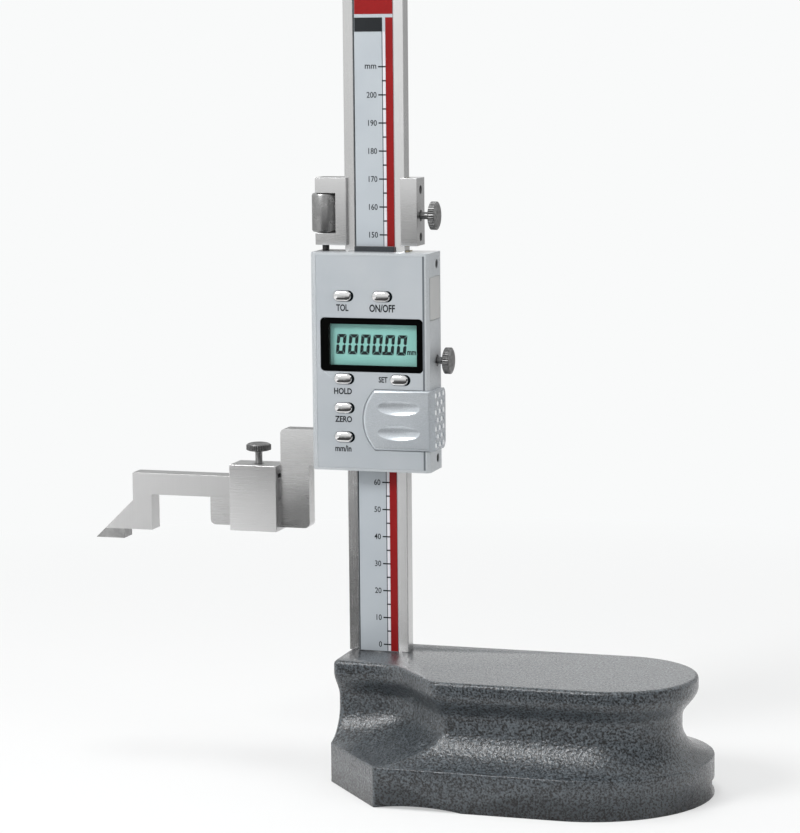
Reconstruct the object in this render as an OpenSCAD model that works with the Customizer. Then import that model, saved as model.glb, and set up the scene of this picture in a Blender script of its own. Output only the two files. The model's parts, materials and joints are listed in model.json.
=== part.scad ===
// Digital height gauge, 0 to 200 mm, on a cast base with a hand-grip waist.
// Millimetres. The origin is on the base's underside, on the column's axis.
// +Z runs up the column, +X from the scriber to the base, and -Y is the front with the display.

/* [Base] */
// Height of the cast base
base_h = 45; // [40:0.5:60]
// Length of the base's flange, from left to right
base_l = 137.7; // [130:0.1:170]
// Depth of the base's flange, from front to back
base_w = 80; // [76:0.5:90]
// How far the flange reaches in front of the column's axis
base_front = 52; // [50:0.5:56]
// Radius of the flange's right end, in front of its middle
end_r = 45; // [40:0.5:50]
// How far the flange reaches to the left of the column's axis
base_left = 12.8; // [12.8:0.1:16]
// Depth of the base's top, from front to back
top_w = 60.6; // [58:0.1:62]
// How far the top's middle line lies in front of the column
base_mid = 17; // [15:0.1:18]
// Height of the flange's upright edge
flange_h = 14.5; // [12:0.5:16]
// Height of the upright rim round the top
rim_h = 4; // [3:0.5:7]
// Height over which the hollow under the rim runs out
hollow_h = 10.5; // [8:0.5:12]
// How far the flange stands out past the rim at the right end
end_margin = 3.8; // [3:0.1:7]
// How far the flange stands out past the rim at the left end
left_margin = 1.4; // [1:0.1:3]
// How deep the waist goes in under the rim
waist_inset = 5.6; // [3:0.1:7]
// How deep the waist goes in at the left end
left_inset = 0.2; // [0.1:0.1:1.5]
// Height of the narrowest place of the waist
waist_h = 27; // [24:0.5:30]
// Rise of the flange's sloping top from its edge to the waist's foot
slope_rise = 3.5; // [2:0.1:5]
// How far the narrow end of the top reaches in front of the column's middle
neck_front = 23; // [21:0.5:25]
// Where the narrow end's front edge turns forwards, from the column's axis
neck_bend = 12; // [10:0.5:14]
// Where the wide part of the top starts, from the column's axis
shoulder_x = 33.2; // [30:0.1:38]
// Length of the flange's front left chamfer along X
chamfer_x = 25.7; // [20:0.1:28]
// Length of the flange's front left chamfer along Y
chamfer_y = 30.1; // [26:0.1:33]
// Where the shallow channel under the base starts, from the column's axis
relief_x = 13; // [12:0.5:20]
// Width of the shallow channel under the base
relief_w = 32; // [20:1:40]
// Height of the shallow channel under the base
relief_h = 1.3; // [0.8:0.1:2]
// Width of the notch in the right end, midway on the column's axis
notch_w = 16; // [6:0.5:18]
// Height of the notch in the right end
notch_h = 5.4; // [4:0.1:7]
// Depth of the notch in the right end
notch_d = 6; // [5:0.5:12]
// Height of the notch's floor over the underside
notch_z = 0.8; // [0.5:0.1:4]
// Rounding of the top's edge
edge_round = 1.4; // [0.5:0.1:2]
// Rounding of the flange's upper edge
flange_edge = 0.6; // [0.3:0.1:1]

/* [Column] */
// Width of the column bar
beam_w = 22.6; // [20:0.1:24]
// Thickness of the column bar
beam_t = 6; // [5.6:0.1:6.4]
// Width of the column's foot in its socket
foot_w = 18; // [17.5:0.1:19]
// Height of the column's top over the base's top
beam_above = 315; // [312:1:360]
// Height of the column's foot over the base's underside
foot_z = 20; // [18:0.5:24]
// Width of each smooth land beside the scale
land_w = 3.8; // [3.2:0.1:4.6]
// Depth of the recess that holds the scale strip
recess_d = 0.4; // [0.3:0.05:0.8]
// Thickness of the scale strip
strip_t = 0.3; // [0.2:0.05:0.5]
// Height of the scale's zero over the base's top
zero_h = 2.6; // [2:0.1:5]
// Distance between the two foot screws
foot_pitch = 11; // [10.5:0.1:11.5]
// Thread diameter of the foot screws
foot_screw_d = 4; // [3:0.5:4]
// Distance of the stop screw from the column's top
stop_drop = 5; // [3:0.5:6]

/* [Slider] */
// Height of the slider's lower edge over the scale's zero
slider_at = 65.1; // [60:0.1:110]
// Height of the slider
slider_h = 78.9; // [78.8:0.1:82]
// Width of the slider
slider_w = 44.4; // [44:0.1:48]
// How far the slider's front stands in front of the column's middle
slider_front = 10.4; // [10:0.1:12]
// How far the slider's back stands behind the column's middle
slider_back = 4.6; // [4.4:0.1:6]
// Bevel along the upright edges of the slider's front
edge_bevel = 1.1; // [0.6:0.1:1.3]
// Running clearance between a guide and the column
run_gap = 0.1; // [0.05:0.01:0.15]
// Thickness of the frame's lips in front of the column
lip_t = 1.3; // [1:0.1:1.6]
// How far the lips reach over the column's lands
lip_l = 1.1; // [0.8:0.1:1.4]
// Thickness of the gib strips
gib_t = 1; // [0.8:0.1:1.2]
// Width of the gib strips
gib_w = 5; // [4:0.1:5.4]
// How far a gib strip stands out of its block towards the other block
gib_out = 0.3; // [0.1:0.1:0.3]
// Thickness of the cover's front wall
cover_t = 2; // [1.8:0.1:2.2]
// Thickness of the cover's side walls
side_t = 1.3; // [1.2:0.1:1.6]
// Width of the raised rim round the printed face panel
rim_w = 0.9; // [0.6:0.1:1.4]
// Thickness of the printed face panel
panel_t = 0.3; // [0.2:0.05:0.4]
// Height of the felt wiper that shows over the slider
wiper_top_out = 1.9; // [1:0.1:2.1]
// Height of the felt wiper that shows under the slider
wiper_low_out = 0.5; // [0.3:0.1:0.8]

/* [Display and keys] */
// Width of the display's black bezel
bezel_w = 38.4; // [36:0.1:39]
// Height of the display's black bezel, as a share of the slider's height
bezel_share = 0.2446; // [0.2:0.0001:0.25]
// Sideways place of the bezel's middle
bezel_x = 0.6; // [-0.4:0.1:0.8]
// Gap between the keys under the display and the bezel
bezel_gap = 0.8; // [0.6:0.05:1.2]
// Width of the bezel beside its window
bezel_side = 2.7; // [2.3:0.1:4]
// Width of the bezel over and under its window
bezel_rim = 2.2; // [2:0.1:3]
// Sideways place of the window's middle from the bezel's middle
window_dx = 0.4; // [-0.4:0.1:0.6]
// Width of a key
key_w = 6.8; // [5:0.1:7]
// Height of a key
key_h = 3.8; // [3:0.1:3.8]
// How far a key stands out of the face
key_out = 0.9; // [0.6:0.1:1.2]
// How far a key can be pressed
key_travel = 0.6; // [0.4:0.05:0.6]
// Sideways place of the left column of keys
key_left_x = -10.2; // [-11:0.1:-9]
// Sideways place of the power key
key_power_x = 4.4; // [3:0.1:6]
// Sideways place of the set key
key_set_x = 10.9; // [9:0.1:12]
// Gap between the bezel and the keys over it, as a share of the slider's height
key_top_share = 0.0767; // [0.07:0.0001:0.11]
// Gap between the battery cover and the key over it
key_gap = 1.7; // [1.5:0.05:2]
// Spacing of the keys in the left column, as a share of the slider's height
key_row_share = 0.134; // [0.12:0.001:0.14]

/* [Battery and data port] */
// Left end of the battery cover
lid_left = -2.8; // [-3.4:0.1:-2.2]
// How far the battery cover reaches past the coin cell, above and below
lid_margin = 1; // [0.9:0.1:1.2]
// Height of the battery cover's lower edge, as a share of the slider's height
lid_share = 0.0989; // [0.09:0.0001:0.1]
// How far the battery cover stands out of the face
lid_out = 0.8; // [0.5:0.1:1.2]
// Thickness of the battery cover's side wing
wing_t = 2; // [1.4:0.1:2.4]
// Diameter of the coin cell
cell_d = 20; // [19.5:0.1:20]
// Thickness of the coin cell
cell_t = 3.2; // [2.5:0.1:3.2]
// Sideways place of the coin cell's middle
cell_x = 9.6; // [9:0.1:9.8]
// Height of the data port's cover, as a share of the slider's height
port_h_share = 0.195; // [0.16:0.001:0.2]
// Depth of the data port's cover, from front to back
port_w = 12.6; // [10:0.1:12.6]
// Height of the data port's middle, as a share of the slider's height
port_share = 0.792; // [0.785:0.001:0.8]
// Thickness of the data port's cover
port_t = 0.9; // [0.6:0.1:1]

/* [Fine adjustment] */
// Gap between the slider and the fine-adjustment carriage
carriage_gap = 2.2; // [2.2:0.1:3]
// Height of the carriage
carriage_h = 24.3; // [23:0.1:28]
// How far the carriage reaches left of the column's axis
carriage_left = 22; // [21.8:0.1:24]
// How far the carriage reaches right of the column's axis
carriage_right = 16.4; // [15.5:0.1:18]
// How far the carriage's front stands in front of the column's middle
carriage_front = 4.7; // [4.4:0.1:5]
// How far the carriage's back stands behind the column's middle
carriage_back = 4.9; // [4.4:0.1:6]
// Height of the nut's window over the carriage's lower edge
nut_sill = 4.3; // [3.5:0.1:4.8]
// Height of the knurled nut
nut_h = 14; // [11:0.1:14.4]
// Diameter of the knurled nut
nut_d = 9.8; // [8.6:0.1:10]
// End clearance of the nut in its window
nut_gap = 0.2; // [0.1:0.05:0.4]
// Distance of the nut's axis left of the column's axis
nut_x = 19.6; // [19.2:0.1:19.8]
// Diameter of the threaded stud
stud_d = 2.5; // [2:0.1:2.8]

/* [Screws] */
// Diameter of the carriage's lock knob
knob_a_d = 10.2; // [8:0.1:12]
// Diameter of the slider's lock knob
knob_b_d = 9.6; // [8:0.1:10]
// Diameter of the clamp's knob
knob_c_d = 9.2; // [8:0.1:11]
// Thickness of the knobs
knob_t = 3.1; // [2.4:0.1:4]
// Free length between the carriage's side and its knob
reach_a = 3.7; // [2:0.1:5]
// Free length between the slider's side and its knob
reach_b = 2.8; // [2:0.1:4]
// Free length between the clamp box's top and its knob
reach_c = 4.8; // [3:0.1:6]
// Thread diameter of the lock screws
lock_d = 4; // [3:0.1:4]
// Neck diameter between thread and knob
neck_d = 2.6; // [2:0.1:2.8]
// Thread diameter of the gib's set screws
set_d = 3; // [2.5:0.1:3]
// Thickness of the pads under the screws
pad_t = 0.8; // [0.6:0.1:1]
// Height of the carriage's lock screw over the carriage's lower edge
lock_a_z = 10.7; // [10:0.1:12]
// Height of the slider's lock screw over the battery cover's upper edge
lock_b_up = 9.9; // [8:0.1:14]
// Distance of the carriage's lower set screw from the carriage's lower edge
set_a_low = 3.1; // [2.6:0.1:4]
// Distance of the carriage's upper set screw from the carriage's upper edge
set_a_high = 4.3; // [2.6:0.1:5]
// Distance of the slider's set screws from its ends
set_b_z = 4.3; // [3.6:0.1:4.6]

/* [Jaw, clamp and scriber] */
// Left edge of the jaw plate, from the column's axis
jaw_left = 37.2; // [36:0.1:40]
// Right edge of the jaw plate below the slider, from the column's axis
jaw_right = 26.2; // [24:0.1:27]
// Height of the jaw's top over the slider's lower edge
jaw_up = 13.4; // [12:0.1:18]
// Depth of the jaw's underside below the slider's lower edge
jaw_down = 23.3; // [20:0.1:26]
// Height of the jaw's arm
arm_h = 10.3; // [8:0.1:11]
// Left end of the jaw's arm, from the column's axis
arm_left = 65; // [62:0.5:72]
// Length of the clamp box
box_l = 18.2; // [16:0.1:20]
// Depth of the clamp box, from front to back
box_t = 12.4; // [11.6:0.1:14]
// Gap between the clamp box and the jaw plate
box_gap = 0.8; // [0.5:0.1:1.5]
// Thickness of the clamp box's floor
box_floor = 1.35; // [1:0.05:2]
// Thickness of the clamp box's top wall
box_roof = 3.1; // [2.6:0.1:4]
// Depth of the scriber's bar, from front to back
scriber_t = 7.6; // [7:0.1:8]
// Height of the scriber's bar
scriber_h = 8; // [7:0.1:9]
// Left face of the scriber's leg, from the column's axis
scriber_left = 95.6; // [90:0.1:110]
// Width of the scriber's leg
leg_w = 7.6; // [6:0.1:9]
// Depth of the leg's lower end below the bar
leg_drop = 13.35; // [12:0.05:18]
// Length of the scriber's wedge, from the leg to its point
tip_l = 15; // [12:0.1:18]
// Height of the brazed carbide edge
edge_h = 3.6; // [2.5:0.1:4]
// Length of the brazed carbide edge
edge_l = 11.3; // [9:0.1:11.4]
// Clearance between sliding flat faces
slip = 0.05; // [0.03:0.01:0.08]

/* [Hidden] */
$fn = 64;

// One overrun for every cut, and one small gap round every piece let into another
over = 1;
seat = 0.1;

// Steps of the cast base's round corners, its round end and its waist
corner_steps = 7;
end_steps = 32;
waist_steps = 10;
edge_steps = 3;
// How far the base's corners are rounded back from their points
neck_round = 2.5;
bend_round = 10;
shoulder_round = 4;
back_round = 5;
flange_round = 0.8;
// Where the flange's chamfer faces the neck's bend, as a share of its length
bend_share = 0.4;
// How far the flange's rounded edge goes in, as a share of the way to the waist
edge_share = 0.06;

// Places along the base
flange_left = -base_left;
flange_right = base_l - base_left;
flange_front = -base_front;
flange_back = base_w - base_front;
end_mid = end_r - base_front;
back_r = base_w - end_r;
top_half = top_w / 2;
top_end_x = flange_right - end_margin - top_half;

// Heights of the column
socket_z = foot_z;
beam_top = base_h + beam_above;
zero_z = base_h + zero_h;
recess_w = beam_w - 2 * land_w;
recess_y = recess_d - beam_t / 2;
strip_y = recess_y - strip_t;
head_h = foot_screw_d;
head_d = 1.75 * foot_screw_d;
web_h = 6;
stop_d = 2;
stop_head_d = 3;
stop_head_h = 1.4;
stop_x = 1.7 - beam_w / 2;
stop_l = 3;

// The rows of the slider's face, from the battery cover up
lid_h = cell_d + 2 * lid_margin;
lid_z = lid_share * slider_h + lid_h / 2;
bezel_h = bezel_share * slider_h;
window_w = bezel_w - 2 * bezel_side;
window_h = bezel_h - 2 * bezel_rim;
key_z2 = lid_z + lid_h / 2 + key_gap + key_h / 2;
key_z3 = key_z2 - key_row_share * slider_h;
key_z4 = key_z3 - key_row_share * slider_h;
bezel_z = key_z2 + key_h / 2 + bezel_gap + bezel_h / 2;
key_z1 = bezel_z + bezel_h / 2 + key_top_share * slider_h + key_h / 2;
lock_b_z = lid_z + lid_h / 2 + lock_b_up;
port_h = port_h_share * slider_h;
port_z = port_share * slider_h;

// The slider's planes
slider_z = zero_z + slider_at;
slider_top = slider_z + slider_h;
half_w = slider_w / 2;
guide_x = beam_w / 2 + run_gap;
guide_y = beam_t / 2 + run_gap;
gib_x = guide_x + gib_t + slip;
lip_x = beam_w / 2 - lip_l;
frame_y = -guide_y - lip_t;
frame_right = half_w - side_t;
front_y = -slider_front;
panel_y = front_y + panel_t;
wall_y = front_y + cover_t;
wall_t = 1.5;

// The printed board and what stands on it
board_t = 0.8;
board_y = frame_y - board_t;
board_edge = 1.6;
boss_d = 3.6;
boss_screw_d = 2;
boss_head_d = 3.8;
boss_head_h = 1.5;
boss_tip = 1;
// Places of the four cover screws: beside the middle, and from the slider's ends or the cell's middle
boss_left = -16.5;
boss_right = 18.4;
boss_port = 15.2;
boss_end = 3.1;
boss_under = 9.8;
boss_high = 7.7;
bosses = [
    [boss_left, boss_end], [boss_left, slider_h - boss_end],
    [boss_right, lid_z - boss_under], [boss_port, slider_h - boss_high]
];

// The display's layers
bezel_in = 0.3;
bezel_t = 2.1;
bezel_y = front_y + bezel_in;
bezel_round = 1.6;
bezel_ear = 0.8;
bezel_ear_t = 0.4;
lens_in = 0.2;
lens_t = 1;
glass_y = bezel_y + bezel_t + slip;
glass_t = 1.8;
glass_w = window_w + 3;
glass_h = window_h + 1.8;
rubber_h = 1.6;

// The keys
key_flange = 0.3;
key_flange_t = 0.55;
key_back = wall_y + slip + key_flange_t;
switch_w = 3;
switch_y = key_back + key_travel + slip;
key_step = 0.35;
keys = [
    [key_left_x, key_z1], [key_power_x, key_z1], [key_left_x, key_z2],
    [key_set_x, key_z2], [key_left_x, key_z3], [key_left_x, key_z4]
];

// The battery cover and the cell
lid_low = slider_z + lid_z - lid_h / 2;
lid_high = slider_z + lid_z + lid_h / 2;
lid_mid = slider_z + lid_z;
lid_y = front_y - lid_out;
lid_floor = front_y + cover_t / 2;
lid_arc = lid_h * 0.72;
cell_y = board_y - 0.3;
cell_r = cell_d / 2;
cell_gap = 0.3;
wing_x = half_w + slip;
wing_back = slider_back - 0.3;
wing_round = 3;
dish_d = 0.8;
dish_w = 5.6;
dish_l = 16.2;
dish_x = 10.8;
dish_rise = 4.5;
dot_d = 1.3;
dot_h = 0.3;
dot_pitch = 3;
dot_rows = 3;
dot_columns = 2;
clip_w = 5;
clip_t = 0.4;
clip_out = 1.4;
clip_lap = 3.5;

// The data port
port_edge = 0.5;
port_y = front_y + edge_bevel + port_edge + port_w / 2;
port_low = slider_z + port_z - port_h / 2;
port_slot_w = 3.2;
port_slot_share = 0.58;
port_slot_h = port_slot_share * port_h;
contact_l = 2;

// The carriage
carriage_z = slider_top + carriage_gap;
carriage_top = carriage_z + carriage_h;
window_z = carriage_z + nut_sill;
nut_z = window_z + nut_gap;
window_x = -nut_x + nut_d / 2 + 0.4;
stud_gap = 0.05;
stud_clear = 0.25;
stud_in = 11;
stud_low = slider_top - stud_in;
fine_up = 1.4;
stud_over = 2;
stud_top = window_z + nut_h + stud_over;

// The lock screws
lock_gap = 0.05;
knob_bevel = 0.6;
neck_l = 1.6;
tip_pin_d = 2.4;
slot_w = 0.6;
slot_d = 0.8;
pad_d = 3.6;

// The jaw, the clamp and the scriber
jaw_z = slider_z - jaw_down;
jaw_high = slider_z + jaw_up;
jaw_round = 2;
arm_top = jaw_z + arm_h;
bar_z = arm_top + slip;
bar_top = bar_z + scriber_h;
box_right = -jaw_left - box_gap;
box_left = box_right - box_l;
box_z = jaw_z - slip - box_floor;
pad_z = bar_top + slip;
lift = 0.7;
box_in_top = pad_z + pad_t + lift + slip;
box_top = box_in_top + box_roof;
clamp_x = (box_left + box_right) / 2 + 0.4;
clamp_pad_l = 7;
leg_z = bar_z - leg_drop;
tip_z = leg_z - edge_h;
wedge_h = tip_l * 0.97;

// Upright or lying blocks and rods, given by the planes that bound them
module block(x, y, z) {
    translate([x[0], y[0], z[0]])
        cube([x[1] - x[0], y[1] - y[0], z[1] - z[0]]);
}

module rod_x(x, y, z, d) {
    translate([x[0], y, z])
        rotate([0, 90, 0])
            cylinder(h = x[1] - x[0], d = d);
}

module rod_y(x, y, z, d) {
    translate([x, y[1], z])
        rotate([90, 0, 0])
            cylinder(h = y[1] - y[0], d = d);
}

module rod_z(x, y, z, d) {
    translate([x, y, z[0]])
        cylinder(h = z[1] - z[0], d = d);
}

// A plate that stands upright: an outline in X and Z, thick along Y
module upright(y) {
    translate([0, y[1], 0])
        rotate([90, 0, 0])
            linear_extrude(y[1] - y[0])
                children();
}

// A rectangle with round corners, drawn with exact arcs
module round_rect(w, h, r) {
    square([w - 2 * r, h], center = true);
    square([w, h - 2 * r], center = true);
    for (sx = [-1, 1], sz = [-1, 1])
        translate([sx * (w / 2 - r), sz * (h / 2 - r)])
            circle(r);
}

// The flat oval of a key
module oval(w, h) {
    square([w - h, h], center = true);
    for (s = [-1, 1])
        translate([s * (w - h) / 2, 0])
            circle(d = h);
}

// Cast base: rings of points that are lofted from the flange to the waist and up to the rim
function mix(a, b, t) = a * (1 - t) + b * t;
function toward(a, b, l) = a + (b - a) * l / norm(b - a);
function bend_point(a, b, c, t) = a * pow(1 - t, 2) + 2 * b * t * (1 - t) + c * pow(t, 2);
function corner(a, b, c, l) = [
    for (i = [0:corner_steps]) bend_point(toward(b, a, l), b, toward(b, c, l), i / corner_steps)
];
// A round end that faces +X: an arc in front of its middle and another behind it, with one rightmost point
function round_end(right, mid, r_front, r_back) = [
    for (i = [0:end_steps])
        let (a = 180 * i / end_steps, r = a < 90 ? r_front : r_back)
        [right - r + r * sin(a), mid - r * cos(a)]
];

// The top's outline, drawn in by one inset at the left end and by another elsewhere
function top_outline(inset, end_inset, round_1, round_2, round_3, round_4) =
    let (
        turn = atan((top_half + base_mid - neck_front) / (shoulder_x - neck_bend)),
        shift = inset * tan(turn / 2),
        left = flange_left + left_margin + end_inset,
        neck_y = inset - neck_front,
        wide_y = inset - top_half - base_mid,
        back_y = top_half - inset - base_mid,
        p_neck = [left, neck_y],
        p_bend = [neck_bend + shift, neck_y],
        p_shoulder = [shoulder_x + shift, wide_y],
        p_back = [left, back_y]
    )
    concat(
        corner(p_back, p_neck, p_bend, round_1),
        corner(p_neck, p_bend, p_shoulder, round_2),
        corner(p_bend, p_shoulder, [top_end_x, wide_y], round_3),
        round_end(top_end_x + top_half - inset, -base_mid, top_half - inset, top_half - inset),
        corner([top_end_x, back_y], p_back, p_neck, round_4)
    );

// The flange's outline, point for point beside the top's
function flange_outline() =
    let (
        p_end = [flange_left, flange_front + chamfer_y],
        p_side = [flange_left + chamfer_x, flange_front],
        p_mid = mix(p_end, p_side, bend_share),
        p_back = [flange_left, flange_back]
    )
    concat(
        corner(p_back, p_end, p_mid, flange_round),
        corner(p_end, p_mid, p_side, neck_round),
        corner(p_mid, p_side, [flange_right - end_r, flange_front], flange_round),
        round_end(flange_right, end_mid, end_r, back_r),
        corner([flange_right - back_r, flange_back], p_back, p_end, neck_round)
    );

// A ring between two outlines at height z
function ring(low, high, t, z) = [for (i = [0:len(low) - 1]) concat(mix(low[i], high[i], t), [z])];

module cast_body() {
    foot = flange_outline();
    waist = top_outline(waist_inset, left_inset, neck_round, bend_round, neck_round, neck_round);
    rim = top_outline(0, 0, neck_round, bend_round, shoulder_round, back_round);
    crown = top_outline(edge_round, edge_round, neck_round, bend_round, shoulder_round, back_round);
    fillet = waist_h - flange_h - slope_rise;
    hollow_z = base_h - rim_h - hollow_h;
    rings = concat(
        [ring(foot, foot, 0, 0)],
        [for (i = [0:edge_steps]) let (a = 90 * i / edge_steps)
            ring(foot, waist, edge_share * (1 - cos(a)), flange_h - flange_edge * (1 - sin(a)))],
        [for (i = [1:waist_steps]) let (a = 90 * i / waist_steps)
            ring(foot, waist, mix(edge_share, 1, sin(a)),
                flange_h + slope_rise * sin(a) + fillet * (1 - cos(a)))],
        [for (i = [0:waist_steps]) let (t = i / waist_steps)
            ring(waist, rim, (1 - cos(180 * t)) / 2, hollow_z + hollow_h * t)],
        [ring(rim, rim, 0, base_h - edge_round)],
        [for (i = [1:edge_steps]) let (a = 90 * i / edge_steps)
            ring(rim, crown, 1 - cos(a), base_h - edge_round * (1 - sin(a)))]
    );
    n = len(foot);
    m = len(rings);
    points = [for (r = rings, p = r) p];
    sides = [
        for (i = [0:m - 2], j = [0:n - 1], half = [0, 1])
            let (a = i * n + j, b = i * n + (j + 1) % n)
            half == 0 ? [a, a + n, b + n] : [a, b + n, b]
    ];
    bottom = [for (j = [0:n - 1]) j];
    top = [for (j = [n - 1:-1:0]) (m - 1) * n + j];
    polyhedron(points = points, faces = concat([bottom], sides, [top]));
}

// Modules of the stand
module base() {
    relief_r = (pow(relief_w / 2, 2) + pow(relief_h, 2)) / (2 * relief_h);
    color("#6a6e72")
    difference() {
        cast_body();
        block([-foot_w / 2 - slip, foot_w / 2 + slip], [-beam_t / 2 - slip, beam_t / 2 + slip],
            [socket_z, base_h + over]);
        for (s = [-1, 1]) {
            rod_z(s * foot_pitch / 2, 0, [-over, socket_z - web_h], head_d + 2 * seat);
            rod_z(s * foot_pitch / 2, 0, [-over, socket_z + over], foot_screw_d + 2 * seat);
        }
        rod_y(relief_x + relief_w / 2, [flange_front - over, flange_back + over], relief_h - relief_r, 2 * relief_r);
        block([flange_right - notch_d, flange_right + over], [-notch_w / 2, notch_w / 2],
            [notch_z, notch_z + notch_h]);
    }
}

module beam() {
    color("#c9cbcc")
    difference() {
        union() {
            block([-beam_w / 2, beam_w / 2], [-beam_t / 2, beam_t / 2], [base_h, beam_top]);
            block([-foot_w / 2, foot_w / 2], [-beam_t / 2, beam_t / 2], [socket_z, base_h + over]);
        }
        block([-recess_w / 2, recess_w / 2], [-beam_t / 2 - over, recess_y], [base_h + slip, beam_top + over]);
        for (s = [-1, 1])
            rod_z(s * foot_pitch / 2, 0, [socket_z - over, socket_z + 3 * foot_screw_d], foot_screw_d + seat);
        rod_y(stop_x, [-beam_t / 2 - over, stop_l - beam_t / 2], beam_top - stop_drop, stop_d + seat);
    }
}

module scale_strip() {
    color("#dfe2e6")
    block([slip - recess_w / 2, recess_w / 2 - slip], [strip_y, recess_y], [base_h + seat, beam_top - slip]);
}

module beam_screws() {
    color("#3a3b3d")
    for (s = [-1, 1])
        difference() {
            union() {
                rod_z(s * foot_pitch / 2, 0, [socket_z - web_h - head_h, socket_z - web_h], head_d);
                rod_z(s * foot_pitch / 2, 0, [socket_z - web_h - slot_d, socket_z + 2.75 * foot_screw_d], foot_screw_d);
            }
            translate([s * foot_pitch / 2, 0, socket_z - web_h - head_h - over])
                cylinder(h = over + head_h / 2, d = head_d / 2, $fn = 6);
        }
}

module stop_screw() {
    color("#8f9192")
    difference() {
        union() {
            rod_y(stop_x, [-beam_t / 2 - stop_head_h, -beam_t / 2], beam_top - stop_drop, stop_head_d);
            rod_y(stop_x, [-beam_t / 2 - slip, stop_l - beam_t / 2 - seat], beam_top - stop_drop, stop_d);
        }
        block([stop_x - stop_head_d, stop_x + stop_head_d], [-beam_t / 2 - stop_head_h - over,
            stop_head_h / 2 - stop_head_h - beam_t / 2], [beam_top - stop_drop - slot_w / 2,
            beam_top - stop_drop + slot_w / 2]);
    }
}

// Modules of the fine-adjustment carriage
module carriage() {
    color("#b9bbbc")
    difference() {
        block([-carriage_left, carriage_right], [-carriage_front, carriage_back], [carriage_z, carriage_top]);
        block([-guide_x, guide_x], [-guide_y, guide_y], [carriage_z - over, carriage_top + over]);
        block([0, gib_x], [-gib_w / 2 - slip, gib_w / 2 + slip], [carriage_z - over, carriage_top + over]);
        block([-lip_x, lip_x], [-carriage_front - over, 0], [carriage_z - over, carriage_top + over]);
        block([-carriage_left - over, window_x], [-carriage_front - over, carriage_back + over],
            [window_z, window_z + nut_h + 2 * nut_gap]);
        rod_z(-nut_x, 0, [carriage_z - over, stud_top + fine_up + stud_clear], stud_d + 2 * stud_clear);
        for (z = [set_a_low, carriage_h - set_a_high])
            rod_x([0, carriage_right + over], 0, carriage_z + z, set_d + seat);
        rod_x([0, carriage_right + over], 0, carriage_z + lock_a_z, lock_d + seat);
    }
}

module carriage_gib() {
    color("#8d7a4d")
    block([guide_x, guide_x + gib_t], [-gib_w / 2, gib_w / 2], [carriage_z - gib_out, carriage_top - seat]);
}

// A slotted set screw that presses the gib strip, with its slot towards +X
module set_screw(x, z) {
    difference() {
        rod_x(x, 0, z, set_d);
        block([x[1] - slot_d, x[1] + over], [-slot_w / 2, slot_w / 2], [z - set_d, z + set_d]);
    }
}

module carriage_set_screws() {
    color("#77797b")
    for (z = [set_a_low, carriage_h - set_a_high])
        set_screw([gib_x, carriage_right - slot_w / 2], carriage_z + z);
}

module carriage_lock_pad() {
    color("#b08d4a")
    rod_x([gib_x, gib_x + pad_t], 0, carriage_z + lock_a_z, pad_d);
}

// A thumb screw along +Z from zero: its point at the origin, then thread, neck and knob
module thumb_screw(thread_l, reach, d) {
    knob_z = thread_l + reach;
    cylinder(h = thread_l + slip, d = lock_d);
    translate([0, 0, thread_l])
        cylinder(h = reach, d = neck_d);
    rotate_extrude()
        polygon([
            [0, knob_z - neck_l],
            [neck_d / 2, knob_z - neck_l],
            [neck_d / 2 + knob_bevel, knob_z],
            [d / 2 - knob_bevel, knob_z],
            [d / 2, knob_z + knob_bevel],
            [d / 2, knob_z + knob_t - knob_bevel],
            [d / 2 - knob_bevel, knob_z + knob_t],
            [0, knob_z + knob_t]
        ]);
}

module carriage_lock_screw() {
    start = gib_x + pad_t + lock_gap;
    color("#6c6e70")
    translate([start, 0, carriage_z + lock_a_z])
        rotate([0, 90, 0])
            thumb_screw(carriage_right - start, reach_a, knob_a_d);
}

module fine_nut() {
    color("#5f6163")
    difference() {
        translate([-nut_x, 0, nut_z])
            rotate_extrude()
                polygon([
                    [0, 0],
                    [nut_d / 2 - knob_bevel, 0],
                    [nut_d / 2, knob_bevel],
                    [nut_d / 2, nut_h - knob_bevel],
                    [nut_d / 2 - knob_bevel, nut_h],
                    [0, nut_h]
                ]);
        rod_z(-nut_x, 0, [nut_z - over, nut_z + nut_h + over], stud_d + 2 * stud_gap);
    }
}

module fine_stud() {
    color("#2f3133")
    rod_z(-nut_x, 0, [stud_low, stud_top], stud_d);
}

// Modules of the slider
module jaw_outline() {
    difference() {
        union() {
            translate([-jaw_left, jaw_z])
                square([jaw_left - jaw_right, jaw_down + jaw_up]);
            translate([-jaw_right - over, slider_z])
                square([jaw_right - half_w + 2 * over, jaw_up]);
            translate([-arm_left, jaw_z])
                square([arm_left - jaw_left, arm_h]);
        }
        corner_cut([-jaw_left, jaw_high], [1, -1]);
        corner_cut([-jaw_right, jaw_z], [-1, 1]);
        corner_cut([-arm_left, jaw_z], [1, 1]);
    }
}

// What is cut from a square corner to leave it round; the signs point into the corner's body
module corner_cut(at, signs) {
    difference() {
        translate(at + signs * jaw_round / 2 - signs * over / 2)
            square([jaw_round + over, jaw_round + over], center = true);
        translate(at + signs * jaw_round)
            circle(jaw_round);
    }
}

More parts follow.
